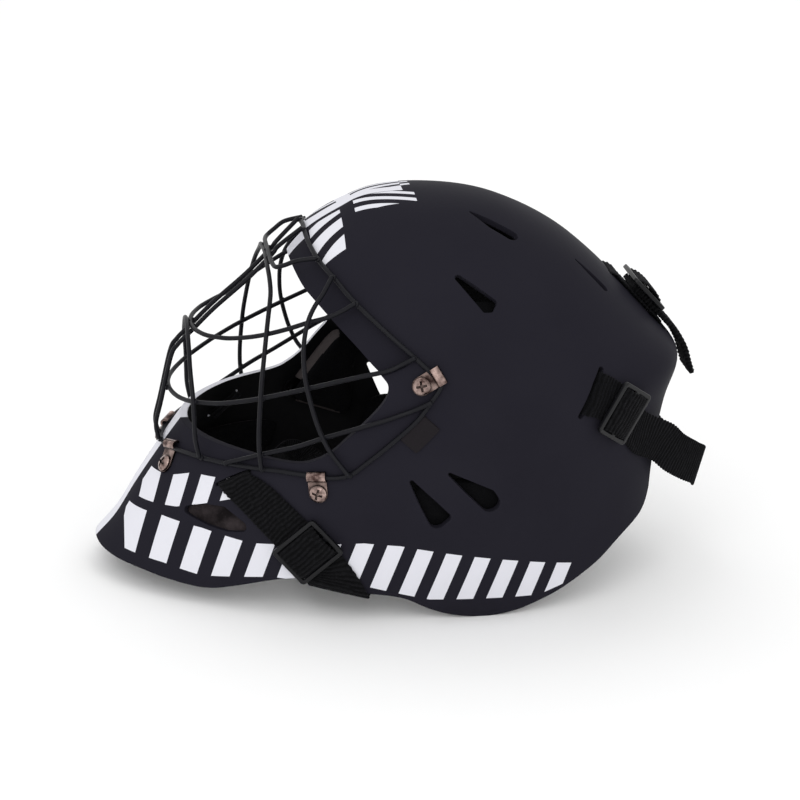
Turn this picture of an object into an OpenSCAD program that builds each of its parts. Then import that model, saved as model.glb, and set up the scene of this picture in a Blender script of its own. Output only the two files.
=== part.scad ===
// Goalkeeper's helmet for field hockey or floorball: a one-piece moulded shell with a welded
// wire cage clamped over the face opening, foam pads and an elastic harness.
// Millimetres, +X to the back of the head, -X to the face, -Y the wearer's left, +Z up.
// The origin is on the floor, under the middle of the whole helmet.

/* [Shell] */
// Length of the moulded shell from the chin to the back
shell_length = 338; // [300:1:380]
// Greatest width of the shell over the ears
shell_width = 212; // [190:1:250]
// Height from the floor to the crown
shell_height = 225; // [190:1:250]
// Wall thickness of the shell
shell_wall = 3.5; // [2.5:0.1:5]
// Depth of the recessed band round the face opening
band_depth = 4; // [2:0.5:6]

/* [Cage] */
// Diameter of the cage wire
wire_diameter = 2.6; // [2.2:0.1:5]
// Half of the distance between the two bars at the centre
centre_bar_offset = 5.6; // [4:0.1:12]

/* [Cage clips] */
// Width of a clip along the wire
clip_width = 10.5; // [8:0.5:16]
// Thickness of the clip's strip
clip_thickness = 1.2; // [0.8:0.1:2]
// Diameter of the screw's pan head
screw_head = 9.6; // [8:0.2:12]
// Diameter of the screw's shank
screw_shank = 5; // [4:0.5:6]

/* [Harness] */
// Width of the elastic webbing
webbing_width = 24; // [18:1:30]
// Thickness of the elastic webbing
webbing_thickness = 1.8; // [1.2:0.1:3]
// Length of a slider along the webbing
slider_length = 26; // [20:1:36]
// Thickness of a slider
slider_thickness = 2.6; // [2:0.2:4]

/* [Padding] */
// Thickness of the foam pads at their middle
pad_thickness = 12; // [8:1:18]
// Width of the chin cup from side to side
chin_cup_width = 66; // [50:1:80]

/* [View] */

/* [Hidden] */

// Rounding of the shell's level sections, in front of and behind their widest point.
front_power = 1.9;
back_power = 2.2;

// Level sections of the shell from the crown down: height, foremost point, rearmost point,
// half width and place of the widest point, as shares of the height, length, length,
// half width and length.
stations = [
  [1.000, 0.015, 0.015, 0.000, 0.015],
  [0.987, -0.080, 0.115, 0.264, 0.016],
  [0.951, -0.130, 0.186, 0.472, 0.018],
  [0.898, -0.182, 0.253, 0.651, 0.021],
  [0.831, -0.222, 0.311, 0.783, 0.025],
  [0.760, -0.244, 0.361, 0.887, 0.028],
  [0.684, -0.263, 0.411, 0.953, 0.028],
  [0.604, -0.290, 0.460, 0.991, 0.027],
  [0.507, -0.328, 0.447, 1.000, 0.024],
  [0.409, -0.379, 0.441, 0.981, 0.016],
  [0.311, -0.423, 0.439, 0.958, 0.007],
  [0.222, -0.460, 0.441, 0.929, 0.001],
  [0.133, -0.494, 0.444, 0.901, -0.004],
  [0.053, -0.536, 0.444, 0.868, -0.009],
  [-0.027, -0.550, 0.441, 0.830, -0.009]
];
last_station = len(stations) - 1;

// Running clearances and small overlaps.
seat_gap = 0.15;
grip_gap = 0.45;
weld_sink = 0.15;
hole_gap = 0.4;
cut_margin = 1;

wire_r = wire_diameter / 2;
half_width = shell_width / 2;

// Curves.
function unit(v) = v / norm(v);
function cubic(a, b, c, d, t) = 0.5 * (2 * b + (c - a) * t + (2 * a - 5 * b + 4 * c - d) * t * t
  + (3 * b - a - 3 * c + d) * t * t * t);

// A smooth curve through the points p with n steps between neighbours.
function curve(p, n) = [
  for (i = [0:len(p) - 2], k = [0:n - 1])
    cubic(p[max(i - 1, 0)], p[i], p[i + 1], p[min(i + 2, len(p) - 1)], k / n),
  p[len(p) - 1]
];
function mirrored(v) = [v[0], -v[1], v[2]];
function mirrored_back(p) = [for (i = [len(p) - 1:-1:0]) mirrored(p[i])];

// Surface of the shell.
function station(i) = let (s = stations[i])
  [s[0] * shell_height, s[1] * shell_length, s[2] * shell_length, s[3] * half_width,
    s[4] * shell_length];
// Before the crown the rows run on down its other side, which keeps the crown smooth.
function ghost() = let (a = station(0), b = station(1))
  [b[0], 2 * a[1] - b[1], 2 * a[1] - b[2], -b[3], b[4]];
function row_at(i) = i < 0 ? ghost() : station(min(i, last_station));
function row(v) = let (i = min(floor(v), last_station - 1))
  cubic(row_at(i - 1), row_at(i), row_at(i + 1), row_at(i + 2), v - i);

// The point of a row q at the angle t, which is 0 at the back and 180 at the face.
function ring_point(q, t) = let (c = cos(t), s = sin(t), n = c > 0 ? back_power : front_power)
  [q[4] + (c > 0 ? q[2] - q[4] : q[4] - q[1]) * sign(c) * pow(abs(c), 2 / n),
   q[3] * sign(s) * pow(abs(s), 2 / n), q[0]];
function shell_point(v, t) = ring_point(row(v), t);
function out_normal(v, t) = let (a = max(v - 0.04, 0.02), b = min(v + 0.04, last_station))
  unit(cross(shell_point(v, t - 1.5) - shell_point(v, t + 1.5), shell_point(b, t) - shell_point(a, t)));
function skin(v, t, h) = v < 0.02 ? shell_point(0, 0) + [0, 0, h] : shell_point(v,
  t) + h * out_normal(v, t);

// Place of a height in the rows, and of a side view point [x, z] given as shares of the
// length and height. A skin point is on the wearer's right; its mirror image is on the left.
row_lookup = [for (k = [160:-1:0]) let (v = k * last_station / 160) [row(v)[0], v]];
function v_at(z) = lookup(z, row_lookup);
function t_at(x, z) = let (q = row(v_at(z)), ahead = x < q[4],
    u = min(1, ahead ? (q[4] - x) / (q[4] - q[1]) : (x - q[4]) / (q[2] - q[4])),
    a = acos(pow(u, (ahead ? front_power : back_power) / 2)))
  ahead ? 180 - a : a;
function over(p, h) = let (x = p[0] * shell_length, z = p[1] * shell_height) skin(v_at(z), t_at(x,
  z), h);
function over_normal(p) = let (x = p[0] * shell_length, z = p[1] * shell_height)
  out_normal(v_at(z), t_at(x, z));
function level(t, z, h) = skin(v_at(z * shell_height), t, h);

// Surface of the cage.
// Height, foremost point and half width as shares of the shell's sizes, and rounding.
cage_stations = [
  [0.3022, -0.432, 0.9434, 2],
  [0.3822, -0.426, 0.9528, 2],
  [0.4467, -0.4175, 0.9717, 2],
  [0.5156, -0.4098, 0.9623, 2],
  [0.58, -0.3997, 0.9245, 2],
  [0.6329, -0.3669, 0.9245, 2],
  [0.6911, -0.3308, 0.9057, 2.15],
  [0.7644, -0.2787, 0.8113, 2.6],
  [0.8302, -0.2382, 0.6509, 3],
  [0.88, -0.2041, 0.5377, 3]
];
function cage_value(z, k) = lookup(z, [for (s = cage_stations) [s[0], s[k]]]);
cage_middle = 0.024 * shell_length;
function cage_at(t, z) = let (n = cage_value(z, 3), front = cage_value(z, 1) * shell_length,
    c = cos(t), s = sin(t))
  [cage_middle + (cage_middle - front) * sign(c) * pow(abs(c), 2 / n),
   cage_value(z, 2) * half_width * sign(s) * pow(abs(s), 2 / n), z * shell_height];
function cage_normal(t, z) = unit(cross(cage_at(t - 1.5, z) - cage_at(t + 1.5, z),
  cage_at(t, z - 0.02) - cage_at(t, z + 0.02)));
// A cage point is [angle, height, layer]; a layer is one wire diameter.
function cage_point(p) = cage_at(p[0], p[1]) + p[2] * (wire_diameter - weld_sink) * cage_normal(p[0],
  p[1]);
function cage_points(list) = [for (p = list) cage_point(p)];
// Evens out the points from first to last: each takes half of its neighbours' middle.
function eased(p, first, last) = [for (i = [0:len(p) - 1])
  i < first || i > last ? p[i] : (p[i - 1] + 2 * p[i] + p[i + 1]) / 4];
function eased_twice(p, first, last) = eased(eased(p, first, last), first, last);

// Solids swept along curves.
function tangent(p, i) = unit(p[min(i + 1, len(p) - 1)] - p[max(i - 1, 0)]);
function loop_tangent(p, i) = unit(p[(i + 1) % len(p)] - p[(i + len(p) - 1) % len(p)]);
hub = [0, 0, shell_height / 2];
function tube_ring(p, t, r, sides) = let (a = unit(cross(t, p - hub)), b = cross(a, t))
  [for (k = [0:sides - 1]) p + r * (cos((k + 0.5) * 360 / sides) * a + sin((k + 0.5) * 360 / sides) * b)];
function joined(rings) = [for (r = rings) each r];
function wall_faces(count, sides, closed) = [for (i = [0:(closed ? count - 1 : count - 2)],
  k = [0:sides - 1])
  let (j = (i + 1) % count, m = (k + 1) % sides)
  each [[i * sides + k, i * sides + m, j * sides + m], [i * sides + k, j * sides + m, j * sides + k]]];
function end_faces(count, sides) = [
  [for (k = [sides - 1:-1:0]) k],
  [for (k = [0:sides - 1]) (count - 1) * sides + k]
];

wire_sides = 6;
module wire(p) {
  polyhedron(
    points = joined([for (i = [0:len(p) - 1]) tube_ring(p[i], tangent(p, i), wire_r, wire_sides)]),
    faces = concat(wall_faces(len(p), wire_sides, false), end_faces(len(p), wire_sides)));
}
module wire_loop(p) {
  polyhedron(
    points = joined([for (i = [0:len(p) - 1]) tube_ring(p[i], loop_tangent(p, i), wire_r, wire_sides)]),
    faces = wall_faces(len(p), wire_sides, true));
}

// A ribbon with the edge curves a and b and the middle curve m.
module ribbon(a, m, b, thickness) {
  last = len(m) - 1;
  lift = [for (i = [0:last]) thickness / 2 * unit(cross(tangent(m, i), a[i] - b[i]))];
  polyhedron(
    points = [for (i = [0:last])
      each [a[i] - lift[i], m[i] - lift[i], b[i] - lift[i], b[i] + lift[i], m[i] + lift[i],
        a[i] + lift[i]]],
    faces = concat(wall_faces(last + 1, 6, false),
      [[5, 4, 1, 0], [4, 3, 2, 1]],
      [for (f = [[0, 1, 4, 5], [1, 2, 3, 4]]) [for (k = f) last * 6 + k]]));
}
// A flat ribbon of even width across the directions w, with the middle line p.
module strip(p, w, width, thickness) {
  side = [for (i = [0:len(p) - 1]) let (t = tangent(p, i)) width / 2 * unit(w[i] - (w[i] * t) * t)];
  ribbon(p + side, p, p - side, thickness);
}

// Outlines in the side view, as shares of the length and height.
function scaled(list) = [for (p = list) [p[0] * shell_length, p[1] * shell_height]];
lower_edge = [
  [-0.5385, 0.0889], [-0.5237, 0.0733], [-0.497, 0.0653], [-0.4527, 0.06], [-0.4172, 0.0533],
    [-0.3698, 0.0471], [-0.3402, 0.0489], [-0.3077, 0.0613],
  [-0.2751, 0.0769], [-0.2367, 0.0942], [-0.1953, 0.1044], [-0.1568, 0.0956], [-0.1213, 0.0822],
    [-0.0858, 0.072], [-0.0503, 0.0667], [-0.0207, 0.056],
  [0.0148, 0.0298], [0.0503, 0.0107], [0.0858, 0.0013], [0.1036, 0], [0.1272, 0], [0.1686, 0.0107],
    [0.2041, 0.0302], [0.2396, 0.0542], [0.2781, 0.0889],
  [0.3107, 0.1222], [0.3462, 0.1689], [0.3757, 0.1987], [0.4112, 0.2156], [0.4645, 0.2222]];
opening_edge = [
  [-0.2219, 0.8533], [-0.2145, 0.8382], [-0.208, 0.82], [-0.1944, 0.7911], [-0.1787, 0.7716],
    [-0.1651, 0.7556],
  [-0.1402, 0.7244], [-0.1154, 0.6924], [-0.0947, 0.6622], [-0.0784, 0.64], [-0.0704, 0.6222],
    [-0.071, 0.6], [-0.0846, 0.5644], [-0.1118, 0.5138],
  [-0.1302, 0.4844], [-0.1479, 0.4533], [-0.1627, 0.4333], [-0.179, 0.4178], [-0.1982, 0.4053],
    [-0.2308, 0.4], [-0.2929, 0.4], [-0.3432, 0.3978], [-0.3876, 0.3956]];
ridge_line = [
  [-0.1953, 0.896], [-0.1834, 0.8867], [-0.168, 0.8604], [-0.1479, 0.8356], [-0.1154, 0.7911],
    [-0.071, 0.7396], [-0.0414, 0.7067], [-0.0355, 0.6889],
  [-0.0503, 0.6667], [-0.0888, 0.64]];

module side_prism(p) {
  rotate([90, 0, 0])
    linear_extrude(height = 2 * shell_width, center = true)
      polygon(p);
}
module below_edge() {
  side_prism(concat([[-shell_length, shell_height * 0.0934]], scaled(lower_edge),
    [[shell_length, shell_height * 0.2284], [shell_length, -shell_height], [-shell_length,
      -shell_height]]));
}
module face_opening() {
  side_prism(concat([[-shell_length, shell_height * 0.8553]], scaled(opening_edge),
    [[-shell_length, shell_height * 0.3953]]));
}
module band(grow) {
  rotate([90, 0, 0])
    linear_extrude(height = 2 * shell_width, center = true)
      offset(delta = grow)
        polygon(concat([[-shell_length / 2, shell_height * 0.8958]], scaled(ridge_line),
          [[-shell_length / 2, shell_height * 0.6335]]));
}
module neck_opening() {
  neck_half = 0.4 * half_width;
  neck_top = 0.5756 * shell_height;
  translate([shell_length * 0.3, 0, 0])
    rotate([90, 0, 90])
      linear_extrude(height = shell_length)
        polygon([[-neck_half * 1.05, -shell_height], [neck_half * 1.05, -shell_height],
          [neck_half, neck_top - 30], [neck_half * 0.93, neck_top - 17], [neck_half * 0.74,
            neck_top - 7],
          [neck_half * 0.42, neck_top - 1.4], [0, neck_top], [-neck_half * 0.42, neck_top - 1.4],
          [-neck_half * 0.74, neck_top - 7], [-neck_half * 0.93, neck_top - 17], [-neck_half,
            neck_top - 30]]);
}

// The solid inside the surface sunk by depth, with its rows and sectors.
module body(depth, rows, sectors) {
  first = 0.35;
  function v_of(i) = first + (last_station - first) * i / (rows - 1);
  top = [skin(0, 0, -depth)];
  rings = [for (i = [0:rows - 1], k = [0:sectors - 1]) skin(v_of(i), k * 360 / sectors, -depth)];
  function id(i, k) = 1 + i * sectors + k % sectors;
  polyhedron(
    points = concat(top, rings),
    faces = concat(
      [for (k = [0:sectors - 1]) [0, id(0, k + 1), id(0, k)]],
      [for (i = [0:rows - 2], k = [0:sectors - 1])
        each [[id(i, k), id(i, k + 1), id(i + 1, k + 1)], [id(i, k), id(i + 1, k + 1), id(i + 1, k)]]],
      [[for (k = [0:sectors - 1]) id(rows - 1, k)]]));
}

// Frames on the shell.
function matrix(o, x, y, z) = [
  [x[0], y[0], z[0], o[0]],
  [x[1], y[1], z[1], o[1]],
  [x[2], y[2], z[2], o[2]],
  [0, 0, 0, 1]];
// Local Z along the shell's normal at the side view point a, local Y towards the point b.
function facing(a, b) = let (o = over(a, 0), z = over_normal(a), d = over(b, 0) - o,
    y = unit(d - (d * z) * z))
  matrix(o, cross(y, z), y, z);

module through(list) {
  hull()
    for (p = list)
      multmatrix(facing([p[0], p[1]], [p[0] + 0.02, p[1] + 0.02]))
        cylinder(h = 6 * shell_wall, r = p[2], center = true, $fn = 14);
}
module both_sides() {
  children();
  mirror([0, 1, 0]) children();
}

// Vents and strap slots: side view points with the radius of the corner there.
vents = [
  [[0.0787, 0.9764, 0.8], [0.1124, 0.9538, 3.4], [0.1405, 0.9351, 4.2]],
  [[0.0361, 0.8578, 0.8], [0.0982, 0.8044, 2.7], [0.0843, 0.796, 2.3]],
  [[0.2559, 0.8644, 0.7], [0.2811, 0.8311, 1.9], [0.3047, 0.7978, 2.4]],
  [[-0.0287, 0.3867, 1], [0.0284, 0.2929, 2.8], [0.0112, 0.2876, 4.5]],
  [[0.0328, 0.4071, 1], [0.0985, 0.3444, 4.5], [0.1044, 0.3244, 5.3]],
  [[-0.3787, 0.2289, 2], [-0.3669, 0.2378, 2], [-0.3225, 0.2471, 3], [-0.2929, 0.22, 3], [-0.3166,
    0.2116, 2.5], [-0.3639, 0.2213, 2]]];
chin_slot = [[-0.3343, 0.3053, 1.7], [-0.3018, 0.3404, 1.7], [-0.279, 0.3631, 1.7]];
neck_slot = [[0.2456, 0.5333, 1.9], [0.2825, 0.6533, 1.9]];

// Cage.
// Places of the rim wire on the shell, from the brow round the right side to the chin:
// angle and height.
rim_half = [
  [180, 0.896], [171, 0.8924], [162, 0.8836], [153, 0.8702], [145, 0.8547], [135.5, 0.8329], [124,
    0.7911], [112, 0.7396],
  [104, 0.7009], [97.2, 0.6631], [94.2, 0.6427], [94, 0.6249], [96.2, 0.5956], [99.5, 0.5467], [105,
    0.4822], [109.2, 0.4244],
  [111.6, 0.3956], [115.2, 0.3818], [121.5, 0.3796], [129, 0.3769], [136, 0.3702], [143, 0.3636],
    [150, 0.3569], [157, 0.3511],
  [164, 0.344], [172, 0.3369], [180, 0.3324]];
rim_height = wire_r + seat_gap;
function rim_at(p) = level(p[0], p[1], rim_height);
// A wire ends on the outer side of the rim.
function on_rim(p) = level(p[0], p[1], rim_height + wire_diameter - weld_sink);
// A wire passes over the edge of the face opening just clear of it.
function past_edge(p) = level(p[0], p[1], wire_r + 2 * seat_gap);

rim_points = curve([for (p = rim_half) rim_at(p)], 2);
rim_loop = concat(rim_points,
  [for (i = [len(rim_points) - 2:-1:1]) mirrored(rim_points[i])]);

brow_bar_half = concat([on_rim([146.5, 0.8578])], cage_points([[150, 0.8507, 1.1], [156.5, 0.8356,
  1], [160.6, 0.8267, 1], [163.2, 0.824, 1], [166, 0.8244, 1], [172, 0.8267, 1], [180, 0.8293, 1]]));
centre_bar = concat([on_rim([171, 0.8924])], [for (p = [[180, 0.8489, 0.4], [180, 0.8302, 0], [180,
  0.7644, 0], [180, 0.6898, 0], [180, 0.632, 0], [180, 0.5933, 0], [180, 0.56, 0], [180, 0.4436, 0],
  [180, 0.3822, 0]]) cage_point(p) + [0, centre_bar_offset, 0]],
  [on_rim([176, 0.3347])]);
front_arch_half = eased(concat([on_rim([151.5, 0.3547])],
  cage_points([[151.6, 0.4044, 0], [152.7, 0.4556, 0], [154.9, 0.5031, 0], [159, 0.5667, 0.2], [165,
    0.6022, 0.8],
    [172, 0.6249, 1.7], [180, 0.6338, 2]])), 1, 3);
middle_arch_half = eased_twice(concat([on_rim([132.5, 0.3742])],
  cage_points([[131.7, 0.4178, 0], [131.7, 0.4578, 0], [132.7, 0.5387, 0], [133.8, 0.5858, 0], [136,
    0.6187, 0],
    [139, 0.6622, 0], [142.7, 0.7044, 0], [147.7, 0.7431, 0], [150.7, 0.76, 0], [155.3, 0.7822, 0.1],
    [162.3, 0.8022, 0.4], [170, 0.8151, 0.9], [180, 0.8222, 1]])), 1, 8);
rear_bar = eased(concat([on_rim([135.5, 0.8329])],
  cage_points([[126.5, 0.8067, 0.2], [129, 0.7822, 0], [129.7, 0.7556, 0], [129, 0.7209, 0], [127.7,
    0.6867, 0],
    [126, 0.6511, 0], [123, 0.6067, 0], [120.7, 0.568, 0], [117, 0.4933, 0], [115.4, 0.4533, 0]]),
  [on_rim([111.6, 0.3956])]), 2, 10);
upper_bar_half = concat([on_rim([124, 0.7911])], cage_points([[118, 0.7787, -0.4], [123.3, 0.7653,
  -1], [130, 0.7467, -1], [136, 0.7253, -1], [142, 0.7044, -1], [148, 0.6844, -1], [154.7, 0.6658,
  -0.7], [159, 0.6551, -0.1], [164.7, 0.6444, 0.6],
  [172.3, 0.6382, 1], [180, 0.636, 1]]));
middle_bar_half = concat([on_rim([102.5, 0.6933]), past_edge([106.5, 0.6756]), past_edge([110.5,
  0.6578])], cage_points([[111, 0.6356, -0.1], [115, 0.62, -0.8], [124.7, 0.5822, -1], [133.7,
  0.5511, -1], [138.3, 0.5369, -1], [146, 0.5147, -1], [155.7, 0.4956, -1],
  [162.3, 0.488, -1], [168, 0.4844, -1], [174, 0.4836, -1], [180, 0.484, -1]]));
lower_bar = concat([on_rim([96.2, 0.5956]), past_edge([100.5, 0.5742]), past_edge([105, 0.5556]),
  past_edge([109.3, 0.5369])],
  cage_points([[110.5, 0.5067, 0.1], [116.5, 0.4782, -0.8], [122.3, 0.448, -1], [128.3, 0.4222, -1],
    [134, 0.3973, -1]]),
  [on_rim([143, 0.3636])]);

function whole(half) = concat(half, [for (i = [len(half) - 2:-1:0]) mirrored(half[i])]);

wire_steps = 2;
wire_colour = [0.13, 0.13, 0.14];

module cage_rim() color(wire_colour) wire_loop(rim_loop);
module brow_bar() color(wire_colour) wire(curve(whole(brow_bar_half), wire_steps));
module centre_bar_right() color(wire_colour) wire(curve(centre_bar, wire_steps));
module centre_bar_left() color(wire_colour) mirror([0, 1, 0]) wire(curve(centre_bar, wire_steps));
module front_arch() color(wire_colour) wire(curve(whole(front_arch_half), wire_steps));
module middle_arch() color(wire_colour) wire(curve(whole(middle_arch_half), wire_steps));
module rear_bar_right() color(wire_colour) wire(curve(rear_bar, wire_steps));
module rear_bar_left() color(wire_colour) mirror([0, 1, 0]) wire(curve(rear_bar, wire_steps));
module upper_bar() color(wire_colour) wire(curve(whole(upper_bar_half), wire_steps));
module middle_bar() color(wire_colour) wire(curve(whole(middle_bar_half), wire_steps));
module lower_bar_right() color(wire_colour) wire(curve(lower_bar, wire_steps));
module lower_bar_left() color(wire_colour) mirror([0, 1, 0]) wire(curve(lower_bar, wire_steps));

// Clips, screws and nuts.
// Side view points of each screw and of the rim wire that its clip holds.
temple_place = [[-0.0192, 0.6311], [0.0059, 0.6556]];
side_place = [[-0.1731, 0.3378], [-0.176, 0.3796]];
chin_place = [[-0.4098, 0.304], [-0.3973, 0.3462]];
function wire_distance(place) = let (o = over(place[0], 0), d = over(place[1], rim_height) - o,
    z = over_normal(place[0]), flat = d - (d * z) * z) [norm(flat), d * z];

module clip(place) {
  reach = wire_distance(place);
  outer_r = wire_r + grip_gap + clip_thickness;
  multmatrix(facing(place[0], place[1]))
    translate([0, 0, seat_gap])
      difference() {
        union() {
          cylinder(h = clip_thickness, r = clip_width / 2, $fn = 40);
          translate([-clip_width / 2, 0, 0])
            cube([clip_width, reach[0] - wire_r - seat_gap, clip_thickness]);
          translate([0, reach[0], reach[1] - seat_gap])
            rotate([0, 90, 0])
              cylinder(h = clip_width, r = outer_r, center = true, $fn = 40);
        }
        translate([0, reach[0], reach[1] - seat_gap])
          rotate([0, 90, 0])
            cylinder(h = clip_width + cut_margin, r = wire_r + grip_gap, center = true, $fn = 40);
        translate([-clip_width, reach[0] - wire_r - seat_gap, -outer_r * 2])
          cube([2 * clip_width, 4 * outer_r, outer_r * 2 + reach[1] - seat_gap - wire_r * 0.4]);
        translate([-clip_width, 0, -outer_r * 2])
          cube([2 * clip_width, reach[0], outer_r * 2]);
        cylinder(h = 4 * clip_thickness, d = screw_shank + hole_gap, center = true, $fn = 32);
      }
}
module screw(place) {
  head_height = screw_head * 0.3;
  shank_length = shell_wall + clip_thickness + 4;
  recess = [screw_head * 0.62, screw_head * 0.13, head_height];
  multmatrix(facing(place[0], place[1]))
    translate([0, 0, seat_gap + clip_thickness]) {
      difference() {
        intersection() {
          cylinder(h = head_height, d = screw_head, $fn = 40);
          translate([0, 0, head_height - screw_head * 0.72])
            sphere(r = screw_head * 0.72, $fn = 40);
        }
        for (turn = [20, 110])
          rotate([0, 0, turn])
            translate([0, 0, head_height])
              cube(recess, center = true);
      }
      translate([0, 0, -shank_length])
        cylinder(h = shank_length, d = screw_shank, $fn = 32);
    }
}
module nut(place) {
  flange = [screw_shank * 1.35, 1.4];
  nut_gap = 0.9;
  multmatrix(facing(place[0], place[1]))
    mirror([0, 0, 1])
      translate([0, 0, shell_wall + nut_gap])
        difference() {
          union() {
            cylinder(h = flange[1], r = flange[0], $fn = 36);
            cylinder(h = 3.4, r = screw_shank * 0.85, $fn = 6);
          }
          cylinder(h = 12, d = screw_shank + hole_gap / 2, center = true, $fn = 32);
        }
}
clip_colour = [0.44, 0.36, 0.35];
screw_colour = [0.52, 0.44, 0.42];
nut_colour = [0.5, 0.5, 0.5];
module clip_temple_right() color(clip_colour) clip(temple_place);
module clip_temple_left() color(clip_colour) mirror([0, 1, 0]) clip(temple_place);
module clip_side_right() color(clip_colour) clip(side_place);
module clip_side_left() color(clip_colour) mirror([0, 1, 0]) clip(side_place);
module clip_chin_right() color(clip_colour) clip(chin_place);
module clip_chin_left() color(clip_colour) mirror([0, 1, 0]) clip(chin_place);
module screw_temple_right() color(screw_colour) screw(temple_place);
module screw_temple_left() color(screw_colour) mirror([0, 1, 0]) screw(temple_place);
module screw_side_right() color(screw_colour) screw(side_place);
module screw_side_left() color(screw_colour) mirror([0, 1, 0]) screw(side_place);
module screw_chin_right() color(screw_colour) screw(chin_place);
module screw_chin_left() color(screw_colour) mirror([0, 1, 0]) screw(chin_place);
module nut_temple_right() color(nut_colour) nut(temple_place);
module nut_temple_left() color(nut_colour) mirror([0, 1, 0]) nut(temple_place);
module nut_side_right() color(nut_colour) nut(side_place);
module nut_side_left() color(nut_colour) mirror([0, 1, 0]) nut(side_place);
module nut_chin_right() color(nut_colour) nut(chin_place);
module nut_chin_left() color(nut_colour) mirror([0, 1, 0]) nut(chin_place);

module screw_holes() {
  for (place = [temple_place, side_place, chin_place])
    multmatrix(facing(place[0], place[1]))
      cylinder(h = 8 * shell_wall, d = screw_shank + hole_gap, center = true, $fn = 20);
}

// Shell.
// The outside has finer rows and sectors than the inside.
outer_grid = [25, 52];
inner_grid = [17, 36];
module shell() {
  color([0.15, 0.145, 0.165])
    difference() {
      body(0, outer_grid[0], outer_grid[1]);
      difference() {
        band(0);
        body(band_depth, outer_grid[0], outer_grid[1]);
      }
      difference() {
        body(shell_wall, inner_grid[0], inner_grid[1]);
        difference() {
          band(shell_wall);
          body(shell_wall + band_depth, inner_grid[0], inner_grid[1]);
        }
      }
      below_edge();
      face_opening();
      neck_opening();
      both_sides() {
        for (v = vents) through(v);
        through(chin_slot);
        through(neck_slot);
        screw_holes();
      }
      crown_slots();
    }
}

// Patches over the ears.
patch_place = [[-0.0133, 0.5156], [0.0044, 0.5467]];
patch_size = [11, 18.5, 1.4];
module ear_patch_right() {
  color([0.17, 0.15, 0.15])
    multmatrix(facing(patch_place[0], patch_place[1]))
      translate([-patch_size[0] / 2, -patch_size[1] / 2, 0])
        cube(patch_size);
}
module ear_patch_left() mirror([0, 1, 0]) ear_patch_right();

// Pads: cushions on the inside of the shell.
// The middle of a pad crowns to its full thickness and its sides draw in to a thin border.
cushion_steps = 8;
function rounded(s, t, k) = [s * sqrt(1 - k * t * t / 2), t * sqrt(1 - k * s * s / 2)];
function crown(s, t) = 0.4 + 0.6 * pow(1 - pow(abs(s), 4), 0.7) * pow(1 - pow(abs(t), 4), 0.7);
// place_back and place_front give the points of the two faces for s and t from -1 to 1.
module cushion(back, front) {
  n = cushion_steps;
  side = n + 1;
  count = side * side;
  function id(i, j, f) = f * count + i * side + j;
  function quad(a, b, c, d) = [[a, b, c], [a, c, d]];
  polyhedron(
    points = concat([for (r = back) each r], [for (r = front) each r]),
    faces = concat(
      [for (i = [0:n - 1], j = [0:n - 1]) each quad(id(i, j, 0), id(i, j + 1, 0), id(i + 1, j + 1,
        0), id(i + 1, j, 0))],
      [for (i = [0:n - 1], j = [0:n - 1]) each quad(id(i, j, 1), id(i + 1, j, 1), id(i + 1, j + 1,
        1), id(i, j + 1, 1))],
      [for (j = [0:n - 1]) each quad(id(0, j, 0), id(0, j, 1), id(0, j + 1, 1), id(0, j + 1, 0))],
      [for (j = [0:n - 1]) each quad(id(n, j + 1, 0), id(n, j + 1, 1), id(n, j, 1), id(n, j, 0))],
      [for (i = [0:n - 1]) each quad(id(i + 1, 0, 0), id(i + 1, 0, 1), id(i, 0, 1), id(i, 0, 0))],
      [for (i = [0:n - 1]) each quad(id(i, n, 0), id(i, n, 1), id(i + 1, n, 1), id(i + 1, n, 0))]));
}
pad_colour = [0.2, 0.2, 0.21];
module level_pad(t0, t1, z0, z1, lift, thickness) {
  function at(s, t, share) = let (q = rounded(s, t, 0.45),
      angle = (t0 + t1) / 2 + q[0] * (t1 - t0) / 2, z = (z0 + z1) / 2 + q[1] * (z1 - z0) / 2)
    level(angle, z, -lift - share * thickness);
  function face(share) = [for (i = [0:cushion_steps]) [for (j = [0:cushion_steps])
    let (s = 2 * i / cushion_steps - 1, t = 2 * j / cushion_steps - 1) at(s, t, share * crown(s, t))]];
  color(pad_colour) cushion(face(0), face(1));
}
module crown_pad(reach, lift, thickness) {
  function at(s, t, share) = let (q = rounded(s, t, 1)) skin(reach * norm(q), atan2(q[1], q[0]),
    -lift - share * thickness);
  function face(share) = [for (i = [0:cushion_steps]) [for (j = [0:cushion_steps])
    let (s = 2 * i / cushion_steps - 1, t = 2 * j / cushion_steps - 1) at(s, t, share * crown(s, t))]];
  color(pad_colour) cushion(face(0), face(1));
}
pad_gap = 0.9;
pad_lift = shell_wall + pad_gap;
module pad_brow() level_pad(148, 212, 0.9084, 0.9518, pad_lift, pad_thickness * 0.8);
module pad_crown() crown_pad(1.6, pad_lift, pad_thickness);
module pad_side_right() level_pad(58, 98, 0.6335, 0.8264, pad_lift, pad_thickness);
module pad_side_left() mirror([0, 1, 0]) pad_side_right();
module pad_rear() level_pad(-30, 30, 0.6798, 0.7955, pad_lift, pad_thickness);
module pad_cheek_right() level_pad(74, 100, 0.3828, 0.5756, pad_lift, pad_thickness);
module pad_cheek_left() mirror([0, 1, 0]) pad_cheek_right();
module pad_chin() level_pad(118, 242, 0.15, 0.27, pad_lift, pad_thickness * 0.6);
module pad_lower_right() level_pad(69, 96, 0.1, 0.304, pad_lift, pad_thickness * 1.1);
module pad_lower_left() mirror([0, 1, 0]) pad_lower_right();
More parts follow.
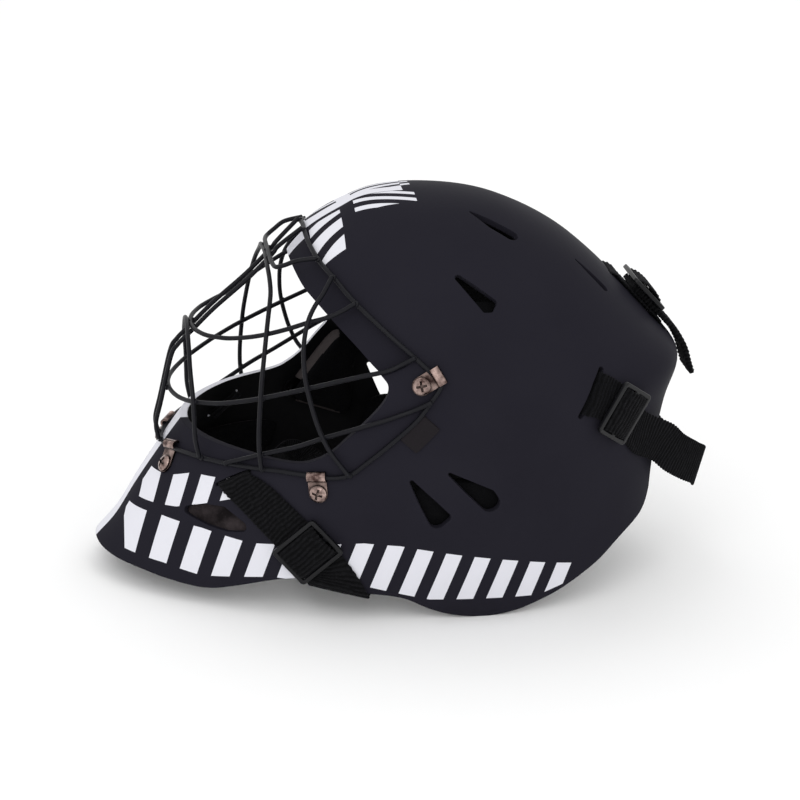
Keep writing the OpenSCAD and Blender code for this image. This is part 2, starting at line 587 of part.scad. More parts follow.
// The jaw pad runs along the face opening, between four side view points, with a pocket over
// the nut of the side clip.
jaw_corners = [[-0.0651, 0.24], [-0.0592, 0.4622], [-0.2012, 0.32], [-0.1006, 0.5067]];
module jaw_pad() {
  function at(s, t, share) = let (q = rounded(s, t, 0.6), a = (1 + q[0]) / 2, b = (1 + q[1]) / 2,
      low = jaw_corners[0] + a * (jaw_corners[2] - jaw_corners[0]),
      high = jaw_corners[1] + a * (jaw_corners[3] - jaw_corners[1]))
    over(low + b * (high - low), -pad_lift - share * pad_thickness);
  function face(share) = [for (i = [0:cushion_steps]) [for (j = [0:cushion_steps])
    let (s = 2 * i / cushion_steps - 1, t = 2 * j / cushion_steps - 1) at(s, t, share * crown(s, t))]];
  pocket = screw_shank * 1.35 + 1;
  difference() {
    cushion(face(0), face(1));
    multmatrix(facing(side_place[0], side_place[1]))
      translate([0, 0, -shell_wall - 7])
        cylinder(h = 7, r = pocket, $fn = 24);
  }
}
module pad_jaw_right() color(pad_colour) jaw_pad();
module pad_jaw_left() mirror([0, 1, 0]) pad_jaw_right();

// Harness.
webbing_colour = [0.09, 0.09, 0.095];
slider_colour = [0.1, 0.1, 0.105];
strap_lift = seat_gap + webbing_thickness / 2;

// A slider lies on the webbing, and a turn of webbing goes over its middle bar from the one
// end bar to the other.
slider_bar = 3.4;
function half_turn(height) = [
  [slider_length / 2 - slider_bar - seat_gap, 0],
  [slider_length / 2 - slider_bar - seat_gap, slider_thickness * 0.35],
  [slider_length / 4, height - webbing_thickness * 0.25],
  [slider_bar / 2, height]];
function under_turn(height) = [
  [slider_bar / 2, height],
  [slider_length / 4, height - webbing_thickness * 0.35],
  [slider_length / 2 - slider_bar - webbing_thickness, 0]];
function other_way(p) = [for (i = [len(p) - 1:-1:0]) [-p[i][0], p[i][1]]];
module slider(turn_colour) {
  gap_length = (slider_length - 3 * slider_bar) / 2;
  gap_width = webbing_width + 1;
  outer_width = gap_width + 2 * slider_bar;
  turn_width = webbing_width - 1;
  turn_under = slider_thickness + seat_gap;
  turn_top = turn_under + webbing_thickness;
  color(slider_colour)
    difference() {
      linear_extrude(height = slider_thickness)
        polygon([for (c = [[1, 1, 0], [-1, 1, 90], [-1, -1, 180], [1, -1, 270]], a = [0:30:90])
          [c[0] * (outer_width / 2 - 2), c[1] * (slider_length / 2 - 2)] + 2 * [cos(c[2] + a),
            sin(c[2] + a)]]);
      for (s = [-1, 1])
        translate([0, s * (slider_bar + gap_length) / 2, 0])
          cube([gap_width, gap_length, 4 * slider_thickness], center = true);
    }
  color(turn_colour)
    translate([-turn_width / 2, 0, 0])
      rotate([90, 0, 90])
        linear_extrude(height = turn_width)
          polygon(concat(half_turn(turn_top), other_way(half_turn(turn_top)),
            other_way(under_turn(turn_under)), under_turn(turn_under)));
}

// The webbing's middle line on the shell and the directions across it.
// A strap on the shell is given by rows: the side view points of its upper and lower edge
// and its height. A share k from 0 to 1 picks a line between the two edges.
function on_shell(rows, k) = [for (r = rows) over(r[0] + k * (r[1] - r[0]), r[2])];
// Off the shell a row is a middle point in shares of the sizes and a direction across.
function off_shell(rows, k) = [for (r = rows)
  [r[0][0] * shell_length, r[0][1] * half_width,
    r[0][2] * shell_height] + (0.5 - k) * webbing_width * unit(r[1])];
module strap(rows, free_rows, steps) {
  function line(k) = curve(concat(on_shell(rows, k), off_shell(free_rows, k)), steps);
  ribbon(line(0), line(0.5), line(1), webbing_thickness);
}

// The chin strap comes out of its slot, runs down the shell, folds under the lower edge and
// goes across to the chin cup.
strap_inside = -shell_wall - strap_lift - seat_gap;
chin_rows = [
  [[-0.2828, 0.3618], [-0.3311, 0.3107], -shell_wall - 5],
  [[-0.2825, 0.3609], [-0.3308, 0.3098], -shell_wall],
  [[-0.2817, 0.3596], [-0.3296, 0.3084], -0.3],
  [[-0.2751, 0.3529], [-0.3225, 0.3004], strap_lift * 1.3],
  [[-0.2651, 0.3489], [-0.3118, 0.2858], strap_lift],
  [[-0.2429, 0.3311], [-0.2896, 0.26], strap_lift],
  [[-0.2118, 0.2924], [-0.2556, 0.2124], strap_lift],
  [[-0.1822, 0.2516], [-0.2308, 0.1778], strap_lift],
  [[-0.1556, 0.2147], [-0.216, 0.1556], strap_lift],
  [[-0.1334, 0.1804], [-0.2041, 0.1378], strap_lift],
  [[-0.1109, 0.1356], [-0.1953, 0.1244], strap_lift],
  [[-0.0917, 0.0889], [-0.1893, 0.1164], strap_lift + 0.4],
  [[-0.0858, 0.0711], [-0.1858, 0.1022], strap_lift + 0.5],
  [[-0.0828, 0.0569], [-0.184, 0.088], -shell_wall / 2],
  [[-0.0814, 0.0729], [-0.1822, 0.104], strap_inside - 1.1],
  [[-0.0828, 0.1156], [-0.1799, 0.1422], strap_inside - 4]];
cup_share = chin_cup_width / shell_width;
chin_free_rows = [
  [[-0.158, 0.62, 0.1609], [0.75, 0, 0.65]],
  [[-0.18, 0.47, 0.1947], [0.35, 0, 0.95]],
  [[-0.194, 1.1565 * cup_share, 0.2092], [0.05, 0, 1]],
  [[-0.2045, 0.9315 * cup_share, 0.2111], [0, 0, 1]],
  [[-0.216, 0.7067 * cup_share, 0.2092], [0, 0, 1]]];
module chin_strap_right() color(webbing_colour) strap(chin_rows, chin_free_rows, 2);
module chin_strap_left() mirror([0, 1, 0]) chin_strap_right();

// A slider rests on the strap that runs over the side view point a towards the point b.
function slider_matrix(a, b, h) = let (o = over(a, h), z = over_normal(a), d = over(b, h) - o,
    y = unit(d - (d * z) * z))
  matrix(o, cross(y, z), y, z);
slider_lift = seat_gap * 4 + webbing_thickness;
chin_slider_place = [[-0.1849, 0.1853], [-0.1553, 0.1404]];
module chin_slider_right() multmatrix(slider_matrix(chin_slider_place[0], chin_slider_place[1],
  slider_lift)) slider(webbing_colour);
module chin_slider_left() mirror([0, 1, 0]) chin_slider_right();

// The neck strap comes out of a slot at each side and stands off behind the neck opening.
neck_rows = [
  [[0.279, 0.6418], [0.2494, 0.5449], -shell_wall - 6],
  [[0.279, 0.6418], [0.2494, 0.5449], -shell_wall - 0.5],
  [[0.2802, 0.6409], [0.2506, 0.544], -0.3],
  [[0.287, 0.6347], [0.2583, 0.5387], strap_lift * 1.4],
  [[0.2982, 0.6258], [0.2722, 0.5316], strap_lift],
  [[0.318, 0.6058], [0.2944, 0.508], strap_lift],
  [[0.3426, 0.568], [0.3225, 0.4636], strap_lift],
  [[0.3609, 0.5342], [0.3411, 0.4284], strap_lift],
  [[0.3751, 0.5049], [0.358, 0.3982], strap_lift + 0.3]];
neck_free_rows = [
  [[0.415, 0.512, 0.4088], [0.5, -0.12, 0.86]],
  [[0.444, 0.443, 0.3683], [0.42, -0.1, 0.9]],
  [[0.479, 0.345, 0.3278], [0.33, -0.06, 0.94]],
  [[0.503, 0.262, 0.3027], [0.26, -0.04, 0.96]],
  [[0.513, 0.14, 0.2757], [0.2, -0.02, 0.98]],
  [[0.5182, 0, 0.2641], [0.15, 0, 0.99]]];
module neck_strap() {
  function half(k) = curve(concat(on_shell(neck_rows, k), off_shell(neck_free_rows, k)), 2);
  function line(k) = let (h = half(k)) concat(h, [for (i = [len(h) - 2:-1:0]) mirrored(h[i])]);
  color(webbing_colour) ribbon(line(0), line(0.5), line(1), webbing_thickness);
}
neck_slider_place = [[0.3195, 0.5342], [0.3462, 0.5022]];
module neck_slider_right() multmatrix(slider_matrix(neck_slider_place[0], neck_slider_place[1],
  slider_lift)) slider(webbing_colour);
module neck_slider_left() mirror([0, 1, 0]) neck_slider_right();

// The crown strap comes out of a slot, lies on the back of the shell and goes in again; its
// free end, folded double, lies on it under the slider and stands off below.
function behind(z, h) = let (v = v_at(z * shell_height)) skin(v, 0, h);
crown_slot_heights = [0.8216, 0.6528];
module crown_slots() {
  for (z = crown_slot_heights)
    hull()
      for (s = [-1, 1])
        translate(behind(z, 0) + [0, s * webbing_width / 2, 0])
          rotate([0, 45, 0])
            cylinder(h = 8 * shell_wall, r = 2, center = true, $fn = 14);
}
crown_line = [
  behind(0.8727, strap_inside - 1.6), behind(0.8515, strap_inside - 2.2), behind(0.8322,
    strap_inside - 2.2),
  behind(0.8245, -shell_wall * 0.8), behind(0.8187, 0.2), behind(0.8071, strap_lift * 1.3),
    behind(0.7926, strap_lift),
  behind(0.7589, strap_lift), behind(0.73, strap_lift), behind(0.701, strap_lift), behind(0.6769,
    strap_lift * 1.5),
  behind(0.6596, 0.6), behind(0.6509, -shell_wall * 0.8), behind(0.6393, strap_inside - 2.8),
  behind(0.6142, strap_inside - 3.2)];
tail_thickness = 2 * webbing_thickness;
tail_lift = strap_lift + webbing_thickness / 2 + seat_gap + tail_thickness / 2;
crown_tail = [
  behind(0.7734, tail_lift), behind(0.7492, tail_lift), behind(0.7251, tail_lift), behind(0.701,
    tail_lift),
  behind(0.68, tail_lift + 0.5), behind(0.655, tail_lift + 0.6), behind(0.629, tail_lift + 1),
  behind(0.594, tail_lift + 2.8), behind(0.5636, tail_lift + 6.4), behind(0.5236, tail_lift + 12.5)];
module crown_strap() {
  line = curve(crown_line, 2);
  tail = curve(crown_tail, 2);
  color(webbing_colour) {
    strip(line, [for (p = line) [0, 1, 0]], webbing_width, webbing_thickness);
    strip(tail, [for (p = tail) [0, 1, 0]], webbing_width, tail_thickness);
  }
}
function behind_matrix(z, h) = let (v = v_at(z * shell_height), n = out_normal(v, 0),
    y = unit(cross([0, 1, 0], n)))
  matrix(skin(v, 0, h), cross(y, n), y, n);
crown_slider_lift = tail_lift + tail_thickness / 2 + 2 * seat_gap;
module crown_slider() multmatrix(behind_matrix(0.745, crown_slider_lift)) slider(webbing_colour);

// Chin cup: a cushion bent round the chin.
chin_cup_place = [-0.2 * shell_length, 0, 0.2043 * shell_height];
module chin_cup() {
  width = chin_cup_width / 2;
  tall = 0.6 * chin_cup_width / 2;
  function at(s, t, depth) = let (q = rounded(s, t, 0.9))
    chin_cup_place + [-12 + 15 * pow(abs(q[0]), 2) + 7 * pow(abs(q[1]), 2) + depth, q[0] * width,
      q[1] * tall - 0.35 * depth];
  function face(k) = [for (i = [0:cushion_steps]) [for (j = [0:cushion_steps])
    let (s = 2 * i / cushion_steps - 1, t = 2 * j / cushion_steps - 1) at(s, t, k * 9 * crown(s, t))]];
  color(pad_colour) cushion(face(1), face(0));
}

shell();
cage_rim();
brow_bar();
centre_bar_left();
centre_bar_right();
front_arch();
middle_arch();
rear_bar_left();
rear_bar_right();
upper_bar();
middle_bar();
lower_bar_left();
lower_bar_right();
clip_temple_left();
clip_temple_right();
clip_side_left();
clip_side_right();
clip_chin_left();
clip_chin_right();
screw_temple_left();
screw_temple_right();
screw_side_left();
screw_side_right();
screw_chin_left();
screw_chin_right();
nut_temple_left();
nut_temple_right();
nut_side_left();
nut_side_right();
nut_chin_left();
nut_chin_right();
ear_patch_left();
ear_patch_right();
pad_brow();
pad_crown();
pad_side_left();
pad_side_right();
pad_rear();
pad_cheek_left();
pad_cheek_right();
pad_jaw_left();
pad_jaw_right();
pad_lower_left();
pad_lower_right();
pad_chin();
chin_cup();
chin_strap_left();
chin_strap_right();
chin_slider_left();
chin_slider_right();
neck_strap();
neck_slider_left();
neck_slider_right();
crown_strap();
crown_slider();
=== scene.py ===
import bmesh
import bpy
import numpy as np
from mathutils import Matrix, Vector


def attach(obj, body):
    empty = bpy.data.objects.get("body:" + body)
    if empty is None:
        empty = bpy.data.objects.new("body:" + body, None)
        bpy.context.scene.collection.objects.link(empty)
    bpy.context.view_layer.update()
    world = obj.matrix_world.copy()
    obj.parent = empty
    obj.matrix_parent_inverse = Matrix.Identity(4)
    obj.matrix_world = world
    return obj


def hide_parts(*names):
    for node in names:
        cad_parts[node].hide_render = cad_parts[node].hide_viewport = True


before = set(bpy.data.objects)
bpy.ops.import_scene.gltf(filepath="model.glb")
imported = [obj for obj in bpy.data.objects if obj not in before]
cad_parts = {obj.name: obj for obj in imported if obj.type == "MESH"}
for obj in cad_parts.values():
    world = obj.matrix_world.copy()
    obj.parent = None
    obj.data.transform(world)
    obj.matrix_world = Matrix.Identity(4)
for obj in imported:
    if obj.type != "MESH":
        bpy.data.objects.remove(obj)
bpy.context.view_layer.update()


# Shell.
# One-piece helmet shell with its chin guard, injection moulded in tough plastic about 3.5 mm
# thick. The outside is sprayed with a soft matte lacquer: black on the wearer's left half,
# white on the right half, with a row of slanted bars in the other colour along the bottom.
SHELL_ROWS = np.array([
    # height, foremost point, rearmost point, half width, widest point
    [225, 5.07, 5.07, 0, 5.07], [222.08, -27.04, 38.87, 27.98, 5.41],
    [213.98, -43.94, 62.87, 50.03, 6.08], [202.05, -61.52, 85.51, 69.01, 7.1],
    [186.98, -75.04, 105.12, 83, 8.45], [171, -82.47, 122.02, 94.02, 9.46],
    [153.9, -88.89, 138.92, 101.02, 9.46], [135.9, -98.02, 155.48, 105.05, 9.13],
    [114.08, -110.86, 151.09, 106, 8.11], [92.03, -128.1, 149.06, 103.99, 5.41],
    [69.97, -142.97, 148.38, 101.55, 2.37], [49.95, -155.48, 149.06, 98.47, 0.34],
    [29.93, -166.97, 150.07, 95.51, -1.35], [11.93, -181.17, 150.07, 92.01, -3.04],
    [-6.08, -185.9, 149.06, 87.98, -3.04]])
SHELL_LAST = len(SHELL_ROWS) - 1
SHELL_WALL = 3.5
BAND_DEPTH = 4.0


def catmull_rom(a, b, c, d, t):
    """Smooth curve from b to c at the share t of the way, with the slopes (c - a)/2 and
    (d - b)/2 at its two ends."""
    return 0.5 * (2 * b + (c - a) * t + (2 * a - 5 * b + 4 * c - d) * t ** 2
                  + (3 * b - a - 3 * c + d) * t ** 3)


def shell_row(v):
    """Catmull-Rom curve through the level sections, crown first; the section below the crown,
    turned over, goes ahead of it, so the crown is smooth."""
    first, second = SHELL_ROWS[:2]
    ahead = [second[0], 2 * first[1] - second[1], 2 * first[1] - second[2], -second[3], second[4]]
    rows = np.vstack([ahead, SHELL_ROWS, SHELL_ROWS[-1]])
    i = np.clip(np.floor(v).astype(int), 0, SHELL_LAST - 1)
    return catmull_rom(rows[i], rows[i + 1], rows[i + 2], rows[i + 3], (v - i)[..., None])


def shell_point(v, angle):
    """Superellipse in each level section: along = reach |cos|^(2/n), across = half width
    |sin|^(2/n), with n 2.2 behind the widest point and 1.9 in front of it."""
    row = shell_row(v)
    c, s = np.cos(np.radians(angle)), np.sin(np.radians(angle))
    power = 2 / np.where(c > 0, 2.2, 1.9)
    reach = np.where(c > 0, row[..., 2] - row[..., 4], row[..., 4] - row[..., 1])
    x = row[..., 4] + reach * np.sign(c) * np.abs(c) ** power
    y = row[..., 3] * np.sign(s) * np.abs(s) ** power
    return np.stack([x, y, row[..., 0]], -1)


def shell_skin(v, angle, lift):
    """The surface moved by lift along its normal, the cross product of its two slopes."""
    v, angle, lift = np.broadcast_arrays(*(np.asarray(part, float) for part in (v, angle, lift)))
    above, below = np.maximum(v - 0.04, 0.02), np.minimum(v + 0.04, SHELL_LAST)
    normal = np.cross(shell_point(v, angle - 1.5) - shell_point(v, angle + 1.5),
                      shell_point(below, angle) - shell_point(above, angle))
    normal /= np.linalg.norm(normal, axis=-1, keepdims=True)
    return shell_point(v, angle) + lift[..., None] * normal


def level_of(height, parts=160):
    """The place v of a height among the level sections, read from a table of this many parts."""
    table = np.linspace(SHELL_LAST, 0, parts + 1)
    return np.interp(height, shell_row(table)[:, 0], table)


def shell_over(x, z, lift):
    """The point of the right side that lies over (x, z) of the side view: the height gives v,
    and the angle is the arc cosine of the share of the reach to the power n/2."""
    v = level_of(z)
    row = shell_row(v)
    ahead = x < row[..., 4]
    share = np.where(ahead, (row[..., 4] - x) / (row[..., 4] - row[..., 1]),
                     (x - row[..., 4]) / np.maximum(row[..., 2] - row[..., 4], 1e-6))
    angle = np.degrees(np.arccos(np.clip(share, 0, 1) ** np.where(ahead, 0.95, 1.1)))
    return shell_skin(v, np.where(ahead, 180 - angle, angle), lift)


def smooth_line(points, steps):
    """Catmull-Rom curve through the points, with steps parts between neighbours."""
    points = np.asarray(points, float)
    p = np.vstack([points[:1], points, points[-1:]])
    t = (np.arange(steps) / steps)[None, :, None]
    curve = catmull_rom(*(p[k:len(p) - 3 + k, None] for k in range(4)), t)
    return np.vstack([curve.reshape(-1, points.shape[1]), points[-1:]])


def linked(name, data):
    """A new object of this mesh, curve, light or camera, in the scene."""
    made = bpy.data.objects.new(name, data)
    bpy.context.scene.collection.objects.link(made)
    return made


def new_object(name, points, faces, smooth=True):
    """A mesh object from points in mm and lists of corners."""
    mesh = bpy.data.meshes.new(name)
    mesh.from_pydata((np.asarray(points, float) * 0.001).tolist(), [], [list(map(int, f)) for f in faces])
    mesh.validate()
    if smooth:
        mesh.shade_smooth()
    return linked(name, mesh)


def rework(mesh, change):
    """Opens a mesh for editing, makes the change and writes it back."""
    work = bmesh.new()
    work.from_mesh(mesh)
    change(work)
    work.to_mesh(mesh)
    work.free()


def face_out(piece):
    """Turns every face of a closed mesh outward."""
    rework(piece.data, lambda work: bmesh.ops.recalc_face_normals(work, faces=work.faces))
    return piece


def ring_faces(count, sides, closed=False):
    """Four-sided faces between count rings of sides points each."""
    i = np.arange(count if closed else count - 1)[:, None]
    k = np.arange(sides)[None, :]
    j, m = (i + 1) % count, (k + 1) % sides
    return np.stack([i * sides + k, i * sides + m, j * sides + m, j * sides + k], -1).reshape(-1, 4)


def prism_faces(sides):
    """Faces of a prism between two outlines of this many points."""
    return ring_faces(2, sides).tolist() + [list(range(sides)), list(range(sides, 2 * sides))[::-1]]


def shell_body(name, lift, rows, sectors):
    """Closed solid inside the surface at the given lift: a pole at the crown and a flat base."""
    v = np.concatenate([[0.12, 0.3], np.linspace(0.5, SHELL_LAST, rows - 2)])
    angle = np.arange(sectors) * 360 / sectors
    grid = shell_skin(v[:, None], angle[None, :], lift).reshape(-1, 3)
    pole = shell_point(np.array([0.0]), np.array([0.0])) + [[0, 0, lift]]
    faces = (ring_faces(rows, sectors)[:, ::-1] + 1).tolist()
    k = np.arange(sectors)
    faces += np.stack([0 * k, 1 + (k + 1) % sectors, 1 + k], -1)[:, ::-1].tolist()
    faces.append((1 + (rows - 1) * sectors + k)[::-1].tolist())
    return face_out(new_object(name, np.vstack([pole, grid]), faces))


def side_prism(name, outline):
    """Bar across the helmet with the outline of a side view."""
    x, z = np.asarray(outline, float).T
    ends = [np.column_stack([x, np.full(len(x), y), z]) for y in (-170, 170)]
    return face_out(new_object(name, np.vstack(ends), prism_faces(len(x)), smooth=False))


def carve(target, tools):
    """Takes the tools away from the target, one after another, and removes them."""
    for tool in tools:
        cut = target.modifiers.new("cut", "BOOLEAN")
        cut.operation, cut.solver, cut.object = "DIFFERENCE", "MANIFOLD", tool
        cut.material_mode = "TRANSFER"
    mesh = bpy.data.meshes.new_from_object(target.evaluated_get(bpy.context.evaluated_depsgraph_get()))
    target.modifiers.clear()
    target.data = mesh
    for tool in tools:
        bpy.data.objects.remove(tool)
    return target


def linear(code):
    """sRGB hex colour to linear light."""
    value = np.array([int(code[i:i + 2], 16) for i in (1, 3, 5)]) / 255
    return (*np.where(value <= 0.04045, value / 12.92, ((value + 0.055) / 1.055) ** 2.4), 1.0)


def material(name, **settings):
    """A material with these values on its Principled shader; returns it, its nodes and shader."""
    made = bpy.data.materials.new(name)
    made.use_nodes = True
    shader = made.node_tree.nodes["Principled BSDF"]
    for key, value in settings.items():
        shader.inputs[key.replace("_", " ")].default_value = value
    return made, made.node_tree, shader


def add(tree, kind, inputs=(), **settings):
    """Adds a node; a kind in capitals is an operation of the Math node. The settings are its own
    properties. The inputs, by name or in order, are values, sockets to link, or nodes, which stand
    for their first socket."""
    made = tree.nodes.new("ShaderNode" + ("Math" if kind.isupper() else kind))
    if kind.isupper():
        made.operation = kind
    for key, value in settings.items():
        setattr(made, key, value)
    for key, value in inputs.items() if isinstance(inputs, dict) else enumerate(inputs):
        source = value.outputs[0] if hasattr(value, "outputs") else value
        if hasattr(source, "is_output"):
            tree.links.new(source, made.inputs[key])
        else:
            made.inputs[key].default_value = source
    return made


def grain(tree, shader, scale, depth, detail, edge=0.0):
    """Fine grain in the normal: scale in grains a metre, depth in metres; edge is the radius
    that sharp edges are rounded to."""
    place = add(tree, "TexCoord").outputs["Object"]
    texture = add(tree, "TexNoise", {"Vector": place, "Scale": scale, "Detail": detail})
    bump = add(tree, "Bump", {"Height": texture, "Distance": depth})
    if edge:
        rounded = add(tree, "Bevel", {"Radius": edge}, samples=6)
        tree.links.new(rounded.outputs[0], bump.inputs["Normal"])
    tree.links.new(bump.outputs[0], shader.inputs["Normal"])
    return place


def mottled(tree, place, scale, detail, dark, light, contrast=1):
    """Two tones mixed by cloudy noise, with scale in spots a metre and its contrast steepened
    about its middle; returns the noise and the colour."""
    noise = add(tree, "TexNoise", {"Vector": place, "Scale": scale, "Detail": detail})
    share = add(tree, "MULTIPLY_ADD", [noise, contrast, (1 - contrast) / 2])
    mix = add(tree, "Mix", {"Factor": share, "A": linear(dark), "B": linear(light)}, data_type="RGBA")
    return noise, mix.outputs["Result"]


ROWS_FROM, ROWS_TO, ROWS_TOP = -0.19, 0.11, 0.1


def row_edge(tree, to_back, points):
    """Height in metres of a painted row's edge over the place along the helmet, by straight
    lines between the points; the curve holds both as shares of ROWS_FROM to ROWS_TO and ROWS_TOP."""
    share = add(tree, "MapRange", {"Value": to_back, "From Min": ROWS_FROM, "From Max": ROWS_TO})
    node = add(tree, "FloatCurve", {"Value": share})
    curve = node.mapping.curves[0]
    while len(curve.points) > 2:
        curve.points.remove(curve.points[1])
    spots = [((x - ROWS_FROM) / (ROWS_TO - ROWS_FROM), z / ROWS_TOP) for x, z in points]
    curve.points[0].location = spots[0]
    for spot in spots[1:-1]:
        curve.points.new(*spot)
    curve.points[-1].location = spots[-1]
    for point in curve.points:
        point.handle_type = "VECTOR"
    node.mapping.use_clip = False
    node.mapping.update()
    return add(tree, "MULTIPLY", [node, ROWS_TOP])


def painted_bars(tree, slant, pitch, share, *limits):
    """1 on bars of this pitch in metres, as wide as this share of it: where the fraction of
    slant / pitch is less than share, and each value of the limits lies between its two ends."""
    fraction = add(tree, "FRACT", [add(tree, "DIVIDE", [slant, pitch])])
    bars = add(tree, "LESS_THAN", [fraction, share])
    for value, low, high in limits:
        bars = add(tree, "MULTIPLY", [bars, add(tree, "GREATER_THAN", [value, low])])
        bars = add(tree, "MULTIPLY", [bars, add(tree, "LESS_THAN", [value, high])])
    return bars


# Sprayed matte lacquer: soft sheen, fine orange peel, a faint smoky variation. It is white on
# the right half, up to a slanting edge behind, and black on the left.
lacquer, tree, shader = material("matte_lacquer", Roughness=0.5, Specular_IOR_Level=0.012)
place = grain(tree, shader, 420, 0.00006, 3.0, edge=0.0009)
to_back, to_right, to_top = add(tree, "SeparateXYZ", [place]).outputs
side = add(tree, "ABSOLUTE", [to_right])
before_edge = add(tree, "LESS_THAN", [add(tree, "MULTIPLY_ADD", [to_top, 0.5, to_back]), 0.1045])
white_half = add(tree, "MULTIPLY", [add(tree, "GREATER_THAN", [to_right, -0.004]), before_edge])
# Slanted bars in a long row along the bottom and a short row above it on the chin guard.
slant = add(tree, "MULTIPLY_ADD", [to_top, -0.3, to_back])
lower_top = row_edge(tree, to_back, [
    (-0.19, 0.041), (-0.159, 0.041), (-0.141, 0.044), (-0.12, 0.044), (-0.094, 0.041), (-0.033, 0.048),
    (-0.013, 0.047), (0.014, 0.042), (0.055, 0.035), (0.11, 0.025)])
lower_bottom = row_edge(tree, to_back, [
    (-0.19, 0.021), (-0.141, 0.02), (-0.12, 0.0175), (-0.082, 0.0227), (-0.031, 0.021), (0.0055, 0.0125),
    (0.069, 0.011), (0.089, 0.018), (0.11, 0.024)])
upper_top = row_edge(tree, to_back, [
    (-0.19, 0.053), (-0.148, 0.062), (-0.1385, 0.064), (-0.125, 0.071), (-0.112, 0.073), (-0.099, 0.075),
    (0.11, 0.075)])
upper_bottom = row_edge(tree, to_back, [
    (-0.19, 0.042), (-0.1586, 0.0455), (-0.147, 0.048), (-0.134, 0.051), (-0.12, 0.057), (-0.104, 0.064),
    (0.11, 0.064)])
# Three slanted bars on each half of the forehead, above the step, and thin ones on the crown.
brow_slant = add(tree, "MULTIPLY_ADD", [to_top, 0.55, side])
brow_step = add(tree, "MULTIPLY_ADD", [to_back, 0.82, to_top])
crown_slant = add(tree, "MULTIPLY_ADD", [to_back, -0.35, side])
off_middle, high_up = (side, 0.012, 1), (to_top, 0.158, 1)
bars = painted_bars(tree, slant, 0.0172, 0.56, (to_top, lower_bottom, lower_top),
                    (to_back, -0.162, 0.091), off_middle)
for row in (
        painted_bars(tree, slant, 0.0129, 0.55, (to_top, upper_bottom, upper_top), (to_back, -0.160, -0.1),
                     off_middle),
        painted_bars(tree, brow_slant, 0.0135, 0.6, (to_back, -0.0605, -0.0435), (side, 0.008, 0.0455),
                     (brow_step, 0.1475, 1), high_up),
        painted_bars(tree, crown_slant, 0.0094, 0.45, (to_back, -0.036, -0.002), (side, 0.0045, 0.024),
                     high_up)):
    bars = add(tree, "MAXIMUM", [bars, row])
white = add(tree, "ABSOLUTE", [add(tree, "SUBTRACT", [white_half, bars])])
smoke, black_tone = mottled(tree, place, 18.0, 4.0, "#1E1D24", "#25242B")
paint = add(tree, "Mix", {"Factor": white, "A": black_tone, "B": linear("#DADAE1")}, data_type="RGBA")
tree.links.new(paint.outputs["Result"], shader.inputs["Base Color"])
tree.links.new(add(tree, "MULTIPLY_ADD", [smoke, 0.1, 0.44]).outputs[0], shader.inputs["Roughness"])

# The bare moulded plastic inside, black, with the satin texture of the mould.
bare, tree, shader = material("moulded_plastic", Base_Color=linear("#08080A"), Roughness=0.65,
                             Specular_IOR_Level=0.12)
grain(tree, shader, 900, 0.00008, 2.0, edge=0.0007)

# Outlines in the side view, as (back, up) in mm: the lower edge, the face opening, and the crest of
# the sunk band round it.
LOWER_EDGE = [
    (-182, 20), (-177, 16.5), (-168, 14.7), (-153, 13.5), (-141, 12), (-125, 10.6), (-115, 11),
    (-104, 13.8), (-93, 17.3), (-80, 21.2), (-66, 23.5), (-53, 21.5), (-41, 18.5), (-29, 16.2), (-17, 15),
    (-7, 12.6), (5, 6.7), (17, 2.4), (29, 0.3), (35, 0), (43, 0), (57, 2.4), (69, 6.8), (81, 12.2),
    (94, 20), (105, 27.5), (117, 37.8), (127, 44.4), (131.8, 47.8), (134.9, 51.8), (136.8, 56.5),
    (138.4, 62), (141.5, 66.5), (147, 69), (157, 70)]
OPENING = [
    (-75, 192), (-72.5, 188.6), (-70.3, 184.5), (-65.7, 178), (-60.4, 173.6), (-55.8, 170), (-47.4, 163),
    (-39, 155.8), (-32, 149), (-26.5, 144), (-23.8, 140), (-24, 135), (-28.6, 127), (-37.8, 115.6),
    (-44, 109), (-50, 102), (-55, 97.5), (-60.5, 94), (-67, 91.2), (-78, 90), (-99, 90), (-116, 89.5),
    (-131, 89)]
RIDGE = [
    (-66, 201.6), (-62, 199.5), (-56.8, 193.6), (-50, 188), (-39, 178), (-24, 166.4), (-14, 159),
    (-12, 155), (-17, 150), (-30, 144)]
# Five vents, the oval slot of the chin guard, the two strap slots and the three screw holes:
# corners of each in the side view, with the radius of the corner.
HOLES = [
    [(26.6, 219.7, 0.8), (38, 214.6, 3.4), (47.5, 210.4, 4.2)],
    [(14.4, 194.6, 1.9), (32.7, 183.2, 2.2), (31.3, 180, 1.6), (28.1, 180, 1.6)],
    [(86.5, 194.5, 0.7), (95, 187, 1.9), (103, 179.5, 2.4)],
    [(-9.4, 86.6, 1.2), (10.3, 65, 3.2), (6.2, 63, 4.7)],
    [(11.1, 91.6, 1), (33.3, 77.5, 4.5), (35.3, 73, 5.3)],
    [(-128, 51.5, 2), (-124, 53.5, 2), (-109, 55.6, 3), (-99, 49.5, 3), (-107, 47.6, 2.5), (-123, 49.8, 2)],
    [(-112.2, 69.3, 1), (-102, 76.6, 1), (-95.1, 81.2, 1)],
    [(83.6, 121.5, 1.7), (94.9, 145.5, 1.7)],
    [(-6.5, 142, 2.8)],
    [(-58.5, 76, 2.8)],
    [(-138.5, 68.4, 2.8)]]


def grown(line, reach):
    """The line moved sideways by reach, to the right of its direction."""
    slope = np.gradient(line, axis=0)
    slope /= np.linalg.norm(slope, axis=1, keepdims=True)
    return line + reach * np.column_stack([slope[:, 1], -slope[:, 0]])


def hull(name, points):
    """The convex solid round the points in mm."""
    tool = new_object(name, points, [], smooth=False)
    rework(tool.data, lambda work: bmesh.ops.convex_hull(work, input=work.verts))
    return face_out(tool)


